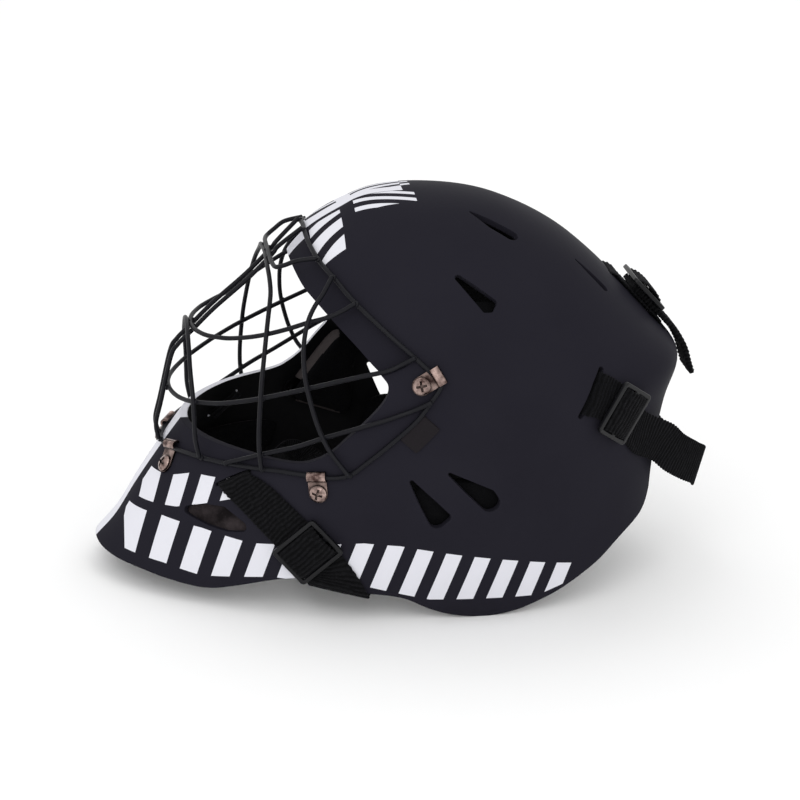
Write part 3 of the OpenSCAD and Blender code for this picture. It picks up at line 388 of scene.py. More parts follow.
def hole_tool(name, corners, sign):
    """Convex tool through the wall: for each corner a circle of its radius, square to the
    surface, 12 mm inside and outside."""
    points = []
    turn = np.radians(np.arange(24) * 15)[:, None]
    for x, z, radius in corners:
        middle = shell_over(x, z, 0.0)
        out = shell_over(x, z, 1.0) - middle
        across = np.cross(out, [0, 0, 1.0])
        across /= np.linalg.norm(across)
        circle = middle + radius * (np.cos(turn) * across + np.sin(turn) * np.cross(out, across))
        points += [circle + 12 * out, circle - 12 * out]
    return hull(name, np.vstack(points) * [1, -sign, 1])


def paint_all(piece, kind):
    """Gives a mesh this material, in place of those it has."""
    piece.data.materials.clear()
    piece.data.materials.append(kind)
    return piece


def shell_inside(name, lift, kind, rows=70, sectors=140):
    """The solid inside the surface at this lift, painted with its material."""
    return paint_all(shell_body(name, lift, rows, sectors), kind)


rows_out, sectors_out = ((120, 260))
shell = shell_inside("shell_lacquered", 0.0, lacquer, rows_out, sectors_out)
# The face opening's edge is sunk: a groove outside, and a step inside that keeps the wall.
ridge = smooth_line(RIDGE, 8)
above, below = np.array([[-169, 201.6]]), np.array([[-169, 144]])
groove = paint_all(side_prism("groove", np.vstack([above, ridge, below])), lacquer)
groove = carve(groove, [shell_inside("floor", -BAND_DEPTH, lacquer, rows_out, sectors_out)])
wide = grown(ridge, -SHELL_WALL)
step = side_prism("step", np.vstack([above + [0, SHELL_WALL], wide, below - [0, SHELL_WALL]]))
step = carve(paint_all(step, bare), [shell_inside("behind", -SHELL_WALL - BAND_DEPTH, bare)])
void = carve(shell_inside("void", -SHELL_WALL, bare), [step])
under = side_prism("under", np.vstack([[[-338, 21]], smooth_line(LOWER_EDGE, 6),
                                       [[338, 51], [338, -225], [-338, -225]]]))
opening = side_prism("opening", np.vstack([[[-338, 192.5]], smooth_line(OPENING, 6), [[-338, 89]]]))
# The neck cut-out is an arch in the view from behind.
half = 42.4
neck_arch = smooth_line([
    (-half, 99.5), (-half * 0.93, 112.5), (-half * 0.74, 122.5), (-half * 0.42, 128.1), (0, 129.5),
    (half * 0.42, 128.1), (half * 0.74, 122.5), (half * 0.93, 112.5), (half, 99.5)], 5)
neck_outline = np.vstack([[[-half * 1.05, -225]], neck_arch, [[half * 1.05, -225]]])
neck_ends = [np.column_stack([np.full(len(neck_outline), x), neck_outline]) for x in (101.4, 439)]
neck = face_out(new_object("neck", np.vstack(neck_ends), prism_faces(len(neck_outline))))
outer_tools = [under, opening, neck]
for number, corners in enumerate(HOLES):
    outer_tools += [hole_tool(f"hole_{number}_{sign}", corners, sign) for sign in (-1, 1)]
# Two level slots for the crown strap, 24 mm between the middles of their round ends, bored along
# the slope of the back of the head.
levels = shell_row(np.linspace(SHELL_LAST, 0, 161))
turn = np.radians(np.arange(16) * 22.5)
out, inward = 2 * np.cos(turn)[:, None, None], np.array([-14, 14])[:, None]
for height in (179.3, 146.9):
    rearmost = np.interp(height, levels[:, 0], levels[:, 2])
    bore = np.stack(np.broadcast_arrays(
        rearmost + (out + inward) * 0.7071, np.array([-12, 12]) + 2 * np.sin(turn)[:, None, None],
        height + (inward - out) * 0.7071), -1)
    outer_tools.append(hull("crown_slot", bore.reshape(-1, 3)))
for tool in outer_tools:
    paint_all(tool, lacquer)
shell = carve(shell, [groove, void] + outer_tools)
shell.data.shade_smooth()
shell.data.set_sharp_from_angle(angle=np.radians(35))
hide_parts("shell")
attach(shell, "helmet")


# Cage.
# Welded cage of 2.6 mm steel wire in a satin black powder coat: a rim wire round the face
# opening and eleven wires over it, which cross in two layers and are welded where they touch.
WIRE = 1.3
RIM = [
    (-63, 0, 202.7), (-63, 10.2, 201.9), (-62.3, 21.4, 199.8), (-60.3, 33.4, 196.8), (-57, 44.5, 193.2),
    (-50.7, 57.7, 188.2), (-39.8, 74.7, 178.7), (-24.3, 90.2, 167), (-12.6, 98, 158.2),
    (-2.1, 102.9, 149.6), (2.7, 104.7, 144.9), (2.8, 105.5, 140.9), (-1.5, 106, 134.2),
    (-8.7, 105.9, 123.1), (-22.3, 103.3, 108.5), (-35.3, 99.6, 95.5), (-42.7, 97.4, 89),
    (-51.7, 94.4, 86), (-65.4, 88.7, 85.6), (-80.8, 80.4, 85.1), (-94.5, 71.4, 83.7),
    (-106.8, 61.3, 82.3), (-117.6, 50.4, 80.9), (-126.4, 38.8, 79.7), (-133.5, 26.9, 78.1),
    (-138.9, 13.1, 76.6), (-141.1, 0, 75.6)]
BROW = [
    (-59.3, 43.4, 195.5), (-69.6, 41.3, 193.4), (-75.9, 37.3, 189.8), (-79.5, 33.9, 187.7),
    (-80.9, 31, 187.1), (-81.6, 27.4, 187.2), (-82.4, 18.8, 187.7), (-82.5, 0, 188.3)]
CENTRE = [
    (-64.6, 10.5, 203.7), (-76.9, 5.6, 191.7), (-80.5, 5.6, 186.8), (-94.2, 5.6, 172),
    (-112.1, 5.6, 155.2), (-124.2, 5.6, 142.2), (-132.3, 5.6, 133.5), (-136.2, 5.6, 126),
    (-141.3, 5.6, 99.8), (-144, 5.6, 86), (-142.4, 6.6, 77.4)]
FRONT = [
    (-121.5, 49.3, 81.4), (-123.8, 48.3, 91.5), (-124.6, 46.5, 102.3), (-125.3, 42.4, 114.1),
    (-126.7, 35.6, 127.7), (-127.1, 25.9, 136.8), (-127.4, 14.2, 143.4), (-127.4, 0, 145.9)]
MIDDLEARCH = [
    (-89.1, 78, 85), (-90.5, 76.9, 94.6), (-90.9, 75.6, 106), (-90.5, 73.6, 118.7), (-89.9, 70.9, 130.3),
    (-89, 67.7, 139.9), (-88, 64, 149), (-86.9, 59.4, 157.9), (-85.8, 54.4, 165.3), (-84.8, 49.7, 171),
    (-83.9, 42.8, 176.2), (-83.9, 33.1, 181.1), (-84.3, 22.1, 184.9), (-83.9, 0, 186.7)]
REAR = [
    (-52.1, 59.1, 189.7), (-57.1, 64.7, 181.9), (-61.6, 67.7, 176), (-65.1, 70.9, 169.6),
    (-67.2, 74.1, 162.2), (-68.1, 76.9, 154.4), (-67.9, 79.4, 146), (-66.8, 82.1, 136.8),
    (-64.1, 85.8, 125.8), (-59.7, 90.1, 112.9), (-53.5, 94.2, 101), (-43.4, 99.7, 89.1)]
UPPER = [
    (-41, 76.4, 179.9), (-48.2, 74.3, 174.5), (-55.5, 73, 170.7), (-65.4, 69.6, 166.8),
    (-75, 65.4, 162.1), (-84.6, 59.5, 157.4), (-94.1, 51.7, 152.9), (-104.3, 42.1, 148.9),
    (-110.9, 35.8, 147.3), (-118.2, 26.6, 145.9), (-123.5, 13.6, 145.2), (-125.2, 0, 144.8)]
MIDDLE = [
    (-10.9, 101.4, 157.2), (-17.4, 98.7, 152.5), (-24.7, 97.3, 148.5), (-39.1, 91.2, 143),
    (-48.2, 87, 139.3), (-72.1, 78.4, 130.4), (-90.6, 70.2, 123.4), (-99.1, 65.1, 120.2),
    (-111.7, 55.4, 115.4), (-124.2, 40.8, 111.2), (-130.4, 30.1, 109.4), (-134.1, 20.6, 108.6),
    (-136.5, 10.3, 108.4), (-137.3, 0, 108.5)]
LOWER = [
    (-1.8, 108.5, 134.5), (-9.8, 105.4, 129.3), (-18.9, 103.7, 125.1), (-27.8, 101.3, 120.9),
    (-43.4, 95.9, 114), (-57.3, 89.9, 107.4), (-70.6, 84.8, 100.8), (-83.9, 78.1, 95.1),
    (-95.7, 70.9, 89.4), (-108.4, 63, 83.1)]
SINGLE = {"centre_bar": CENTRE, "rear_bar": REAR, "lower_bar": LOWER}
CROSSING = {"brow_bar": BROW, "front_arch": FRONT, "middle_arch": MIDDLEARCH, "upper_bar": UPPER,
            "middle_bar": MIDDLE}

# Powder coat: fine pebbled skin over the steel, a little rubbed and glossier in places.
coat, tree, shader = material("powder_coat", Base_Color=linear("#08080F"), Specular_IOR_Level=0.19)
place = grain(tree, shader, 1500, 0.00007, 2.0)
patchy = add(tree, "TexNoise", {"Vector": place, "Scale": 60.0, "Detail": 3.0})
tree.links.new(add(tree, "MULTIPLY_ADD", [patchy, 0.3, 0.3]).outputs[0], shader.inputs["Roughness"])


def as_drawn(points):
    """The points of the wearer's right side, as an array."""
    return np.asarray(points, float)


def mirrored(points):
    """The same points on the wearer's other side."""
    return np.asarray(points, float) * [1, -1, 1]


SIDES = {"right": as_drawn, "left": mirrored}


def tube(name, line, radius, sides=14, closed=False):
    """Round tube along a line: each ring lies in the plane square to the line's slope there;
    an open tube ends in a ring of 0.72 of the radius, so its cut edge is rounded."""
    slope = (np.roll(line, -1, 0) - np.roll(line, 1, 0)) if closed else np.gradient(line, axis=0)
    slope /= np.linalg.norm(slope, axis=1, keepdims=True)
    first = np.cross(slope, line - [0, 0, 112])
    first /= np.linalg.norm(first, axis=1, keepdims=True)
    second = np.cross(first, slope)
    reach = np.full(len(line), radius)
    if not closed:
        line = np.vstack([line[:1] - 0.35 * slope[:1], line, line[-1:] + 0.35 * slope[-1:]])
        first, second = (np.vstack([a[:1], a, a[-1:]]) for a in (first, second))
        reach = np.concatenate([[0.72 * radius], reach, [0.72 * radius]])
    turn = (np.arange(sides) * 2 * np.pi / sides)[None, :, None]
    circle = np.cos(turn) * first[:, None] + np.sin(turn) * second[:, None]
    rings = line[:, None] + reach[:, None, None] * circle
    faces = ring_faces(len(line), sides, closed).tolist()
    if not closed:
        last = (len(line) - 1) * sides
        faces += [list(range(sides))[::-1], list(range(last, last + sides))]
    return face_out(new_object(name, rings.reshape(-1, 3), faces))


def finish_piece(piece, kind, slot, body, *nodes):
    """Gives a piece its material and its body and hides the CAD nodes that it stands for; slot is not used.
    """
    paint_all(piece, kind)
    if nodes:
        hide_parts(*nodes)
    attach(piece, body)
    return piece


# The rim wire is closed: its curve starts two points early and ends three late, and these are cut.
rim = np.vstack([RIM, mirrored(RIM[-2:0:-1])])
rim_line = smooth_line(np.vstack([rim[-2:], rim, rim[:3]]), 6)[12:-18]
wires = {"cage_rim": rim_line}
finish_piece(tube("rim_wire", rim_line, WIRE, closed=True), coat, "wire", "helmet", "cage_rim")
for node, half_line in CROSSING.items():
    wires[node] = smooth_line(np.vstack([half_line, mirrored(half_line[-2::-1])]), 7)
    finish_piece(tube(node + "_wire", wires[node], WIRE), coat, "wire", "helmet", node)
for node, points in SINGLE.items():
    for side_name, turned in SIDES.items():
        line = smooth_line(turned(points), 7)
        wires[f"{node}_{side_name}"] = line
        finish_piece(tube(f"{node}_wire_{side_name}", line, WIRE), coat, "wire", "helmet",
                     f"{node}_{side_name}")

# Weld beads.
# A small bead of weld metal under the same powder coat fills the corner on both sides of each
# place where two wires touch.
BEAD = 1.75
BEAD_HEIGHT = 1.05
names = list(wires)
turn = (np.arange(12) * np.pi / 6)[None, :, None]
tilt = np.radians([-75, -50, -25, 0, 25, 50, 75])[:, None, None]
bead_points = []
for number, first_name in enumerate(names):
    for second_name in names[number + 1:]:
        one, two = wires[first_name], wires[second_name]
        apart = np.linalg.norm(one[:, None] - two[None], axis=2)
        while apart.min() < 2 * WIRE + 0.9:
            i, j = np.unravel_index(apart.argmin(), apart.shape)
            middle = (one[i] + two[j]) / 2
            up = two[j] - one[i]
            up /= np.linalg.norm(up)
            along = one[min(i + 1, len(one) - 1)] - one[i - 1]
            along -= up * (along @ up)
            along /= np.linalg.norm(along)
            ring = np.cos(turn) * along + np.sin(turn) * np.cross(up, along)
            bead = middle + np.cos(tilt) * BEAD * ring + np.sin(tilt) * BEAD_HEIGHT * up
            bead_points.append(bead.reshape(-1, 3))
            near = [np.linalg.norm(line - middle, axis=1) < 12 for line in (one, two)]
            apart = np.where(near[0][:, None] | near[1], 99, apart)
bead_faces = []
for start in range(0, 84 * len(bead_points), 84):
    bead_faces += (ring_faces(7, 12) + start).tolist()
    bead_faces += [list(range(start, start + 12))[::-1], list(range(start + 72, start + 84))]
beads = face_out(new_object("weld_beads", np.vstack(bead_points), bead_faces))
finish_piece(beads, coat, "wire", "helmet")


# Clips, screws and nuts.
# Pressed steel clips with a rosy nickel plate hold the rim wire; each has a pan head screw of
# the same plate and a flange nut in black oxide inside. They keep their own meshes.
def plate(name, tone, dark, rough):
    """Plated metal with fine brushing and darker stains, its sharp edges rounded; painted shade
    darkens its corners and the cross recess."""
    made, tree, shader = material(name, Metallic=1.0)
    place = grain(tree, shader, 700, 0.00003, 4.0, edge=0.0004)
    stain, metal = mottled(tree, place, 230.0, 4.0, dark, tone, contrast=3)
    # Painted shade: ambient occlusion darkens the colour towards #120E0D in corners and the cross recess.
    free = add(tree, "AmbientOcclusion", {"Distance": 0.005}, samples=6).outputs["AO"]
    unshaded = add(tree, "POWER", [free, 3.0])
    painted_shade = add(tree, "Mix", {"Factor": unshaded, "A": linear("#120E0D"), "B": metal}, data_type="RGBA")
    tree.links.new(painted_shade.outputs["Result"], shader.inputs["Base Color"])
    tree.links.new(add(tree, "MULTIPLY_ADD", [stain, 0.25, rough]).outputs[0], shader.inputs["Roughness"])
    return made


METALS = {
    "clip": plate("nickel_plated_clip", "#B8A098", "#463532", 0.12),
    "screw": plate("nickel_plated_screw", "#BEA69E", "#42312E", 0.08),
    "nut": plate("black_oxide_nut", "#2A2A2D", "#18181A", 0.35)}
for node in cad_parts:
    metal = METALS.get(node.split("_")[0])
    if metal:
        paint_all(bpy.data.objects[node], metal)


# Straps.
# Elastic webbing 24 mm wide and 1.8 mm thick, black, knitted with uneven ribs across its width,
# one every 2.5 mm.
WEBBING = 24.0
WEBBING_THICKNESS = 1.8
RIB = 2.5
RIB_HEIGHT = 0.26
SCALLOP = 0.22
YARN = 0.85
# Upper edge, middle and lower edge of each strap; the crown strap is level across.
CHINSTRAP = [
    [
     (-90.5, 62.9, 79.3), (-93.4, 66.8, 80.3), (-95, 69.6, 80.8), (-93.8, 73, 79.7), (-90.2, 75.4, 78.7),
     (-82.6, 80.8, 74.6), (-72, 86.8, 65.8), (-61.9, 90.4, 56.6), (-52.8, 92.5, 48.2),
     (-45.3, 93.5, 40.5), (-37.6, 93.8, 30.4), (-31.1, 93.5, 19.8), (-29.1, 93, 15.7),
     (-27.8, 89.3, 13.1), (-27, 86.1, 17.5), (-27.1, 84.8, 27.3), (-44.3, 65.7, 44.1),
     (-56.7, 49.8, 55.1), (-65, 38.2, 59.1), (-69.1, 30.7, 59.5), (-73, 23.3, 59.1)],
    [
     (-98.5, 58.5, 73.4), (-101.5, 62.4, 74.5), (-103.1, 65.1, 75.1), (-101.8, 68.8, 73.8),
     (-98.1, 71.7, 71.6), (-90.5, 77.5, 66.6), (-79.4, 83.8, 56.8), (-70.1, 87.4, 48.3),
     (-63.1, 89.3, 41.6), (-57.3, 90.5, 35.7), (-52, 91.1, 29.1), (-47.7, 91.6, 22.9),
     (-46.1, 91.5, 19.3), (-44.8, 87.9, 16.6), (-43.7, 84.5, 20.7), (-42.9, 82.9, 30),
     (-53.4, 65.7, 36.2), (-60.8, 49.8, 43.8), (-65.6, 38.2, 47.1), (-69.1, 30.7, 47.5),
     (-73, 23.3, 47.1)],
    [
     (-106.5, 53.9, 67.4), (-109.6, 57.6, 68.7), (-111.2, 60.4, 69.3), (-109.8, 64.3, 67.9),
     (-106, 67.9, 64.5), (-98.4, 74, 58.6), (-86.8, 80.9, 47.8), (-78.4, 84.4, 40), (-73.3, 85.9, 35),
     (-69.3, 87, 30.9), (-66.3, 87.6, 27.9), (-64.3, 88.4, 26.1), (-63.2, 88.5, 22.9), (-61.8, 85.2, 20),
     (-60.3, 81.7, 23.9), (-58.7, 79.8, 32.6), (-62.5, 65.7, 28.3), (-65, 49.8, 32.5),
     (-66.2, 38.2, 35.1), (-69.1, 30.7, 35.5), (-73, 23.3, 35.1)]]
NECKSTRAP = [
    [
     (90.4, 78.4, 140.5), (92.7, 82.9, 142.8), (94.6, 85.8, 144.1), (97.6, 86.8, 143.4),
     (101.3, 85.3, 141.2), (108, 83, 136.5), (116.4, 77.9, 127.7), (122.7, 71.4, 120),
     (127.8, 65.4, 113.5), (146.3, 52.8, 102.3), (155.1, 45.8, 93.7), (165.9, 35.8, 85.1),
     (173.1, 27.3, 79.7), (175.8, 14.6, 73.8), (176.9, 0, 71.3)],
    [
     (85.7, 82.8, 132.7), (87.8, 87.9, 133.1), (89.6, 91.2, 133.3), (92.7, 91.8, 132.1),
     (96.8, 89.6, 130.2), (104, 85.6, 125.2), (113, 78.5, 115.9), (119.3, 72.4, 108.2),
     (124.9, 66.5, 101.4), (140.3, 54.3, 92), (150.1, 47, 82.9), (161.9, 36.6, 73.8), (170, 27.8, 68.1),
     (173.4, 14.8, 62), (175.2, 0, 59.4)],
    [
     (80.9, 84.8, 123.1), (82.8, 89.9, 122.8), (84.6, 93.1, 122.4), (87.9, 93.6, 121.1),
     (92.4, 91, 119.5), (100, 86.6, 114.2), (109.6, 79.4, 104.2), (116, 73.4, 96.3), (121.9, 67.6, 89.5),
     (134.3, 55.7, 81.7), (145, 48.2, 72), (157.9, 37.3, 62.5), (166.9, 28.3, 56.5), (171, 15.1, 50.3),
     (173.4, 0, 47.6)]]
CROWNLINE = [
    (95.5, 0, 185.7), (100.9, 0, 180.7), (106, 0, 176.4), (110.7, 0, 177.8), (114.1, 0, 178.8),
    (117.8, 0, 177), (121, 0, 173.5), (129.6, 0, 165), (136, 0, 158.5), (141.6, 0, 153.4),
    (145.3, 0, 148.9), (145.3, 0, 144.4), (144.7, 0, 138.5), (147.6, 0, 134.4)]
CROWNTAIL = [
    (127.4, 0, 171.1), (132.7, 0, 165.9), (138, 0, 160.4), (142.9, 0, 156), (148.6, 0, 150.3),
    (154.8, 0, 143.6), (160.7, 0, 134), (163.5, 0, 126), (166.2, 0, 118.7)]


def cloth(name, tone):
    """Black elastic: fine yarns along the strap from the UV in mm, fuzz, a dull sheen, and painted
    shade in the groove between each two ribs with painted highlight on the crests, read from the mesh's own
    rib attribute."""
    made, tree, shader = material(name, Roughness=0.92, Specular_IOR_Level=0.1, Sheen_Weight=0.08,
                                  Sheen_Roughness=0.5)
    shader.inputs["Sheen Tint"].default_value = linear("#8C8C94")
    across, along, _ = add(tree, "SeparateXYZ", [add(tree, "TexCoord").outputs["UV"]]).outputs
    yarn = add(tree, "SINE", [add(tree, "MULTIPLY", [across, 2 * np.pi / YARN])])
    lean = add(tree, "MULTIPLY", [along, 2 * np.pi / 1.5])
    stitch = add(tree, "SINE", [add(tree, "MULTIPLY_ADD", [across, np.pi / YARN, lean])])
    place = add(tree, "TexCoord").outputs["Object"]
    fuzz = add(tree, "TexNoise", {"Vector": place, "Scale": 1600.0, "Detail": 3.0})
    weave = add(tree, "MULTIPLY_ADD", [stitch, 0.35, add(tree, "MULTIPLY", [yarn, 0.25])])
    height = add(tree, "ADD", [weave, fuzz])
    bump = add(tree, "Bump", {"Height": height, "Distance": 0.00016})
    tree.links.new(bump.outputs[0], shader.inputs["Normal"])
    rib = add(tree, "Attribute", attribute_name="rib").outputs["Fac"]
    knots = add(tree, "TexNoise", {"Vector": place, "Scale": 520.0, "Detail": 2.0})
    uneven = add(tree, "MULTIPLY_ADD", [knots, 2.4, -0.9])
    # Painted shade and highlight: the rib wave darkens the grooves and lightens the crests, over a random
    # mottle of knots.
    mottle_and_rib_shade = add(tree, "MULTIPLY_ADD", [rib, 0.5, uneven])
    mix = add(tree, "Mix", {"Factor": mottle_and_rib_shade, "A": linear("#040405"), "B": linear(tone)}, data_type="RGBA")
    tree.links.new(mix.outputs["Result"], shader.inputs["Base Color"])
    return made


elastic = cloth("elastic_webbing", "#131315")
# The neck strap is the same webbing, drawn darker: painted shade.
shaded_neck_elastic = cloth("shaded_elastic_webbing", "#0B0B0E")


def webbing(name, upper, centre, lower, thickness, step=0.36):
    """Ribbed ribbon through three lines. Its lines are cut to even steps by length; across,
    a parabola joins the three; its half thickness is e(k) t/2 with rounded edges e, plus a rib
    RIB_HEIGHT cos(2 pi s / RIB + j) with a jitter j in s and k; the edges are scalloped by the
    same wave, which is also kept as the attribute rib."""
    lines = [smooth_line(p, 12) for p in (upper, centre, lower)]
    run = np.concatenate([[0], np.cumsum(np.linalg.norm(np.diff(lines[1], axis=0), axis=1))])
    s = np.linspace(0, run[-1], int(run[-1] / step) + 1)
    a, m, b = (np.column_stack([np.interp(s, run, p[:, c]) for c in range(3)]) for p in lines)
    k = np.concatenate([[0, 0.008, 0.03], np.linspace(0.07, 0.93, 9), [0.97, 0.992, 1]])[None, :, None]
    skin = ((1 - k) * (1 - 2 * k) * a[:, None] + 4 * k * (1 - k) * m[:, None]
            + k * (2 * k - 1) * b[:, None])
    out = np.cross(np.gradient(skin, axis=0), np.gradient(skin, axis=1))
    out /= np.linalg.norm(out, axis=2, keepdims=True)
    edge = np.clip(np.abs(2 * k - 1) - 0.94, 0, 0.06) / 0.06
    round_off = np.sqrt(np.maximum(1 - edge ** 2, 0.0))
    at = s[:, None, None]
    jitter = (0.9 * np.sin(5 * k + at / 9) + 0.7 * np.sin(11 * k - at / 4.3)
              + 0.45 * np.sin(27 * k + at / 2.1))
    wave = np.cos(2 * np.pi * at / RIB + jitter)
    side_way = (a - b) / np.linalg.norm(a - b, axis=1, keepdims=True)
    skin = skin + SCALLOP * wave * (1 - 2 * k) ** 9 * side_way[:, None]
    half_height = np.maximum(round_off * (thickness / 2 - RIB_HEIGHT + RIB_HEIGHT * wave), 0.05)
    rings = np.concatenate([skin - half_height * out, (skin + half_height * out)[:, ::-1]], axis=1)
    sides = rings.shape[1]
    faces = ring_faces(len(s), sides).tolist()
    for start in (0, (len(s) - 1) * sides):
        strip = [[start + q, start + q + 1, start + sides - 2 - q, start + sides - 1 - q]
                 for q in range(sides // 2 - 1)]
        faces += strip if start else [corners[::-1] for corners in strip]
    piece = face_out(new_object(name, rings.reshape(-1, 3), faces))
    across = np.concatenate([k[0, :, 0], k[0, ::-1, 0]]) * WEBBING
    flat = np.stack(np.broadcast_arrays(across[None, :], s[:, None]), -1).reshape(-1, 2)
    corner = np.empty(len(piece.data.loops), dtype=int)
    piece.data.loops.foreach_get("vertex_index", corner)
    piece.data.uv_layers.new(name="UVMap").data.foreach_set("uv", flat[corner].ravel())
    ribs = np.concatenate([wave[..., 0], wave[:, ::-1, 0]], axis=1)
    piece.data.attributes.new("rib", "FLOAT", "POINT").data.foreach_set("value", ribs.ravel())
    return piece


for side_name, turned in SIDES.items():
    finish_piece(webbing("chin_webbing_" + side_name, *(turned(p) for p in CHINSTRAP), WEBBING_THICKNESS),
                 elastic, "webbing", "helmet", "chin_strap_" + side_name)
# The neck strap hangs a little slack on the wearer's right, so it drops by these millimetres.
slack = np.zeros((15, 3))
slack[9:, 2] = [8, 12, 14, 12, 5, 0]
neck_lines = [np.vstack([p - slack, mirrored(p[-2::-1])]) for p in NECKSTRAP]
finish_piece(webbing("neck_webbing", *neck_lines, WEBBING_THICKNESS), shaded_neck_elastic, "webbing", "helmet",
             "neck_strap")
# The crown strap's free end is folded double.
for name, line, thickness, nodes in (
        ("crown_webbing", CROWNLINE, WEBBING_THICKNESS, ["crown_strap"]),
        ("crown_webbing_end", CROWNTAIL, 2 * WEBBING_THICKNESS, [])):
    edges = [np.asarray(line, float) + [0, y, 0] for y in (WEBBING / 2, 0, -WEBBING / 2)]
    finish_piece(webbing(name, *edges, thickness), elastic, "webbing", "helmet", *nodes)


# Sliders.
# Injection moulded tri-glide sliders in a harder, shinier black plastic: a rounded frame with
# a bar across its middle, over which a turn of the webbing passes.
SLIDER_HALF = 15.9, 13.0
SLIDER_CORNER = 2.5
SLIDER_HALF_THICKNESS = 1.3
SLIDER_EDGE = 0.6
WINDOW_HALF = 13.3, 4.5
WINDOW_CORNER = 0.6
WINDOW_MIDDLE = 6.15
# The columns are the slider's axes across the strap, along it and off the shell, and its place.
SLIDER_PLACES = {
    "chin_slider": [
        [0.66997, 0.69053, -0.27261, -63.1505], [0.22871, 0.15737, 0.96069, 90.7114],
        [0.70629, -0.70598, -0.0525, 41.5661], [0, 0, 0, 1]],
    "neck_slider": [
        [0.49339, 0.68258, 0.53912, 109.285], [-0.18942, -0.52062, 0.83251, 83.3414],
        [0.84893, -0.51287, -0.12758, 119.888], [0, 0, 0, 1]],
    "crown_slider": [
        [0, 0.71026, 0.70394, 135.35], [-1, 0, 0, 0], [0, -0.70394, 0.71026, 166.26], [0, 0, 0, 1]]}
hard_plastic, tree, shader = material("glossy_moulded_plastic", Base_Color=linear("#0C0C0F"),
                                      Roughness=0.35, Specular_IOR_Level=0.24)
grain(tree, shader, 1100, 0.00003, 2.0)


def rounded_box(half, corner, radius, step, shift=0.0):
    """Outline of a box with half its sizes: arcs of the radius, in steps of degrees, about the
    middles of its four rounded corners; shift moves it along the strap."""
    x, y = half[0] - corner, half[1] - corner
    return [(c * x + radius * np.cos(t), shift + d * y + radius * np.sin(t))
            for c, d, first in ((1, 1, 0), (-1, 1, 90), (-1, -1, 180), (1, -1, 270))
            for t in np.radians(first + np.arange(0, 91, step))]


def slider_frame(name, place):
    """Filled flat curve with two windows, thickened, its edges rounded by 0.6 mm."""
    curve = bpy.data.curves.new(name, "CURVE")
    curve.dimensions, curve.fill_mode = "2D", "BOTH"
    outlines = [rounded_box(SLIDER_HALF, SLIDER_CORNER, SLIDER_CORNER - SLIDER_EDGE, 15)]
    for middle in (-WINDOW_MIDDLE, WINDOW_MIDDLE):
        window = np.array(WINDOW_HALF) + SLIDER_EDGE
        outlines.append(rounded_box(window, WINDOW_CORNER, WINDOW_CORNER, 30, middle)[::-1])
    for outline in outlines:
        spline = curve.splines.new("POLY")
        spline.points.add(len(outline) - 1)
        flat = np.column_stack([np.array(outline) * 0.001, np.zeros(len(outline)), np.ones(len(outline))])
        spline.points.foreach_set("co", flat.ravel())
        spline.use_cyclic_u = True
    curve.extrude = (SLIDER_HALF_THICKNESS - SLIDER_EDGE) * 0.001
    curve.bevel_depth, curve.bevel_resolution = SLIDER_EDGE * 0.001, 3
    rough = linked(name + "_curve", curve)
    mesh = bpy.data.meshes.new_from_object(rough.evaluated_get(bpy.context.evaluated_depsgraph_get()))
    bpy.data.objects.remove(rough)
    flat = np.empty(len(mesh.vertices) * 3)
    mesh.vertices.foreach_get("co", flat)
    flat = flat.reshape(-1, 3) * 1000 + [0, 0, SLIDER_HALF_THICKNESS]
    mesh.vertices.foreach_set("co", ((flat @ place[:3, :3].T + place[:3, 3]) * 0.001).ravel())
    rework(mesh, lambda work: bmesh.ops.remove_doubles(work, verts=work.verts, dist=0.00001))
    piece = face_out(linked(name, mesh))
    mesh.shade_smooth()
    mesh.set_sharp_from_angle(angle=np.radians(40))
    return piece


# The short turn of webbing over the middle bar, as (along the strap, height) in mm.
TURN = np.array([
    (-9.5, 0.1), (-9.6, 1.2), (-8.6, 2.7), (-5.6, 3.9), (-2, 4.4), (2, 4.4), (5.6, 3.9), (8.6, 2.7),
    (9.6, 1.2), (9.5, 0.1)])
TURN_HALF_WIDTH = 12.9
TURN_THICKNESS = 1.6
for kind, right_place in SLIDER_PLACES.items():
    for ending in ("",) if kind == "crown_slider" else ("_right", "_left"):
        node = kind + ending
        place = np.diag([1, -1 if ending == "_left" else 1, 1, 1]) @ np.array(right_place, float)
        finish_piece(slider_frame(node + "_frame", place), hard_plastic, "sliders", node + "_body", node)
        lines = [np.column_stack([np.full(len(TURN), x), TURN]) @ place[:3, :3].T + place[:3, 3]
                 for x in (TURN_HALF_WIDTH, 0, -TURN_HALF_WIDTH)]
        turn_piece = webbing(node + "_turn", *lines, TURN_THICKNESS, step=0.3)
        finish_piece(turn_piece, elastic, "webbing", node + "_body")


# Pads.
# Closed-cell foam pads, near black, crowned and rounded at their borders, glued to the inside
# of the shell. The two along the face opening are cut from thicker sheet, which shows browner
# at the cut, and the one round the chin guard is bare grey on its outer side.
SHELL_HEIGHT = 225
PAD_LIFT = 4.4
SHEET = 12
FOAM_CORNER = 5.4
foam, tree, shader = material("closed_cell_foam", Roughness=0.95, Specular_IOR_Level=0.06)
place = add(tree, "TexCoord").outputs["Object"]
cells = add(tree, "TexVoronoi", {"Vector": place, "Scale": 1300.0}).outputs["Distance"]
soft, tone = mottled(tree, place, 90.0, 5.0, "#060607", "#0F0F11")
tree.links.new(tone, shader.inputs["Base Color"])
rise = add(tree, "ADD", [cells, soft])
bump = add(tree, "Bump", {"Height": rise, "Distance": 0.0003})
tree.links.new(bump.outputs[0], shader.inputs["Normal"])

cut_foam, tree, shader = material("cut_foam_edge", Base_Color=linear("#423D3D"), Roughness=0.95,
                                  Specular_IOR_Level=0.06)
grain(tree, shader, 700, 0.0003, 4.0)
bare_foam, tree, shader = material("bare_grey_foam", Roughness=0.95, Specular_IOR_Level=0.06)
place = grain(tree, shader, 700, 0.0003, 4.0)
_, tone = mottled(tree, place, 70.0, 4.0, "#171415", "#453E40", contrast=3)
tree.links.new(tone, shader.inputs["Base Color"])

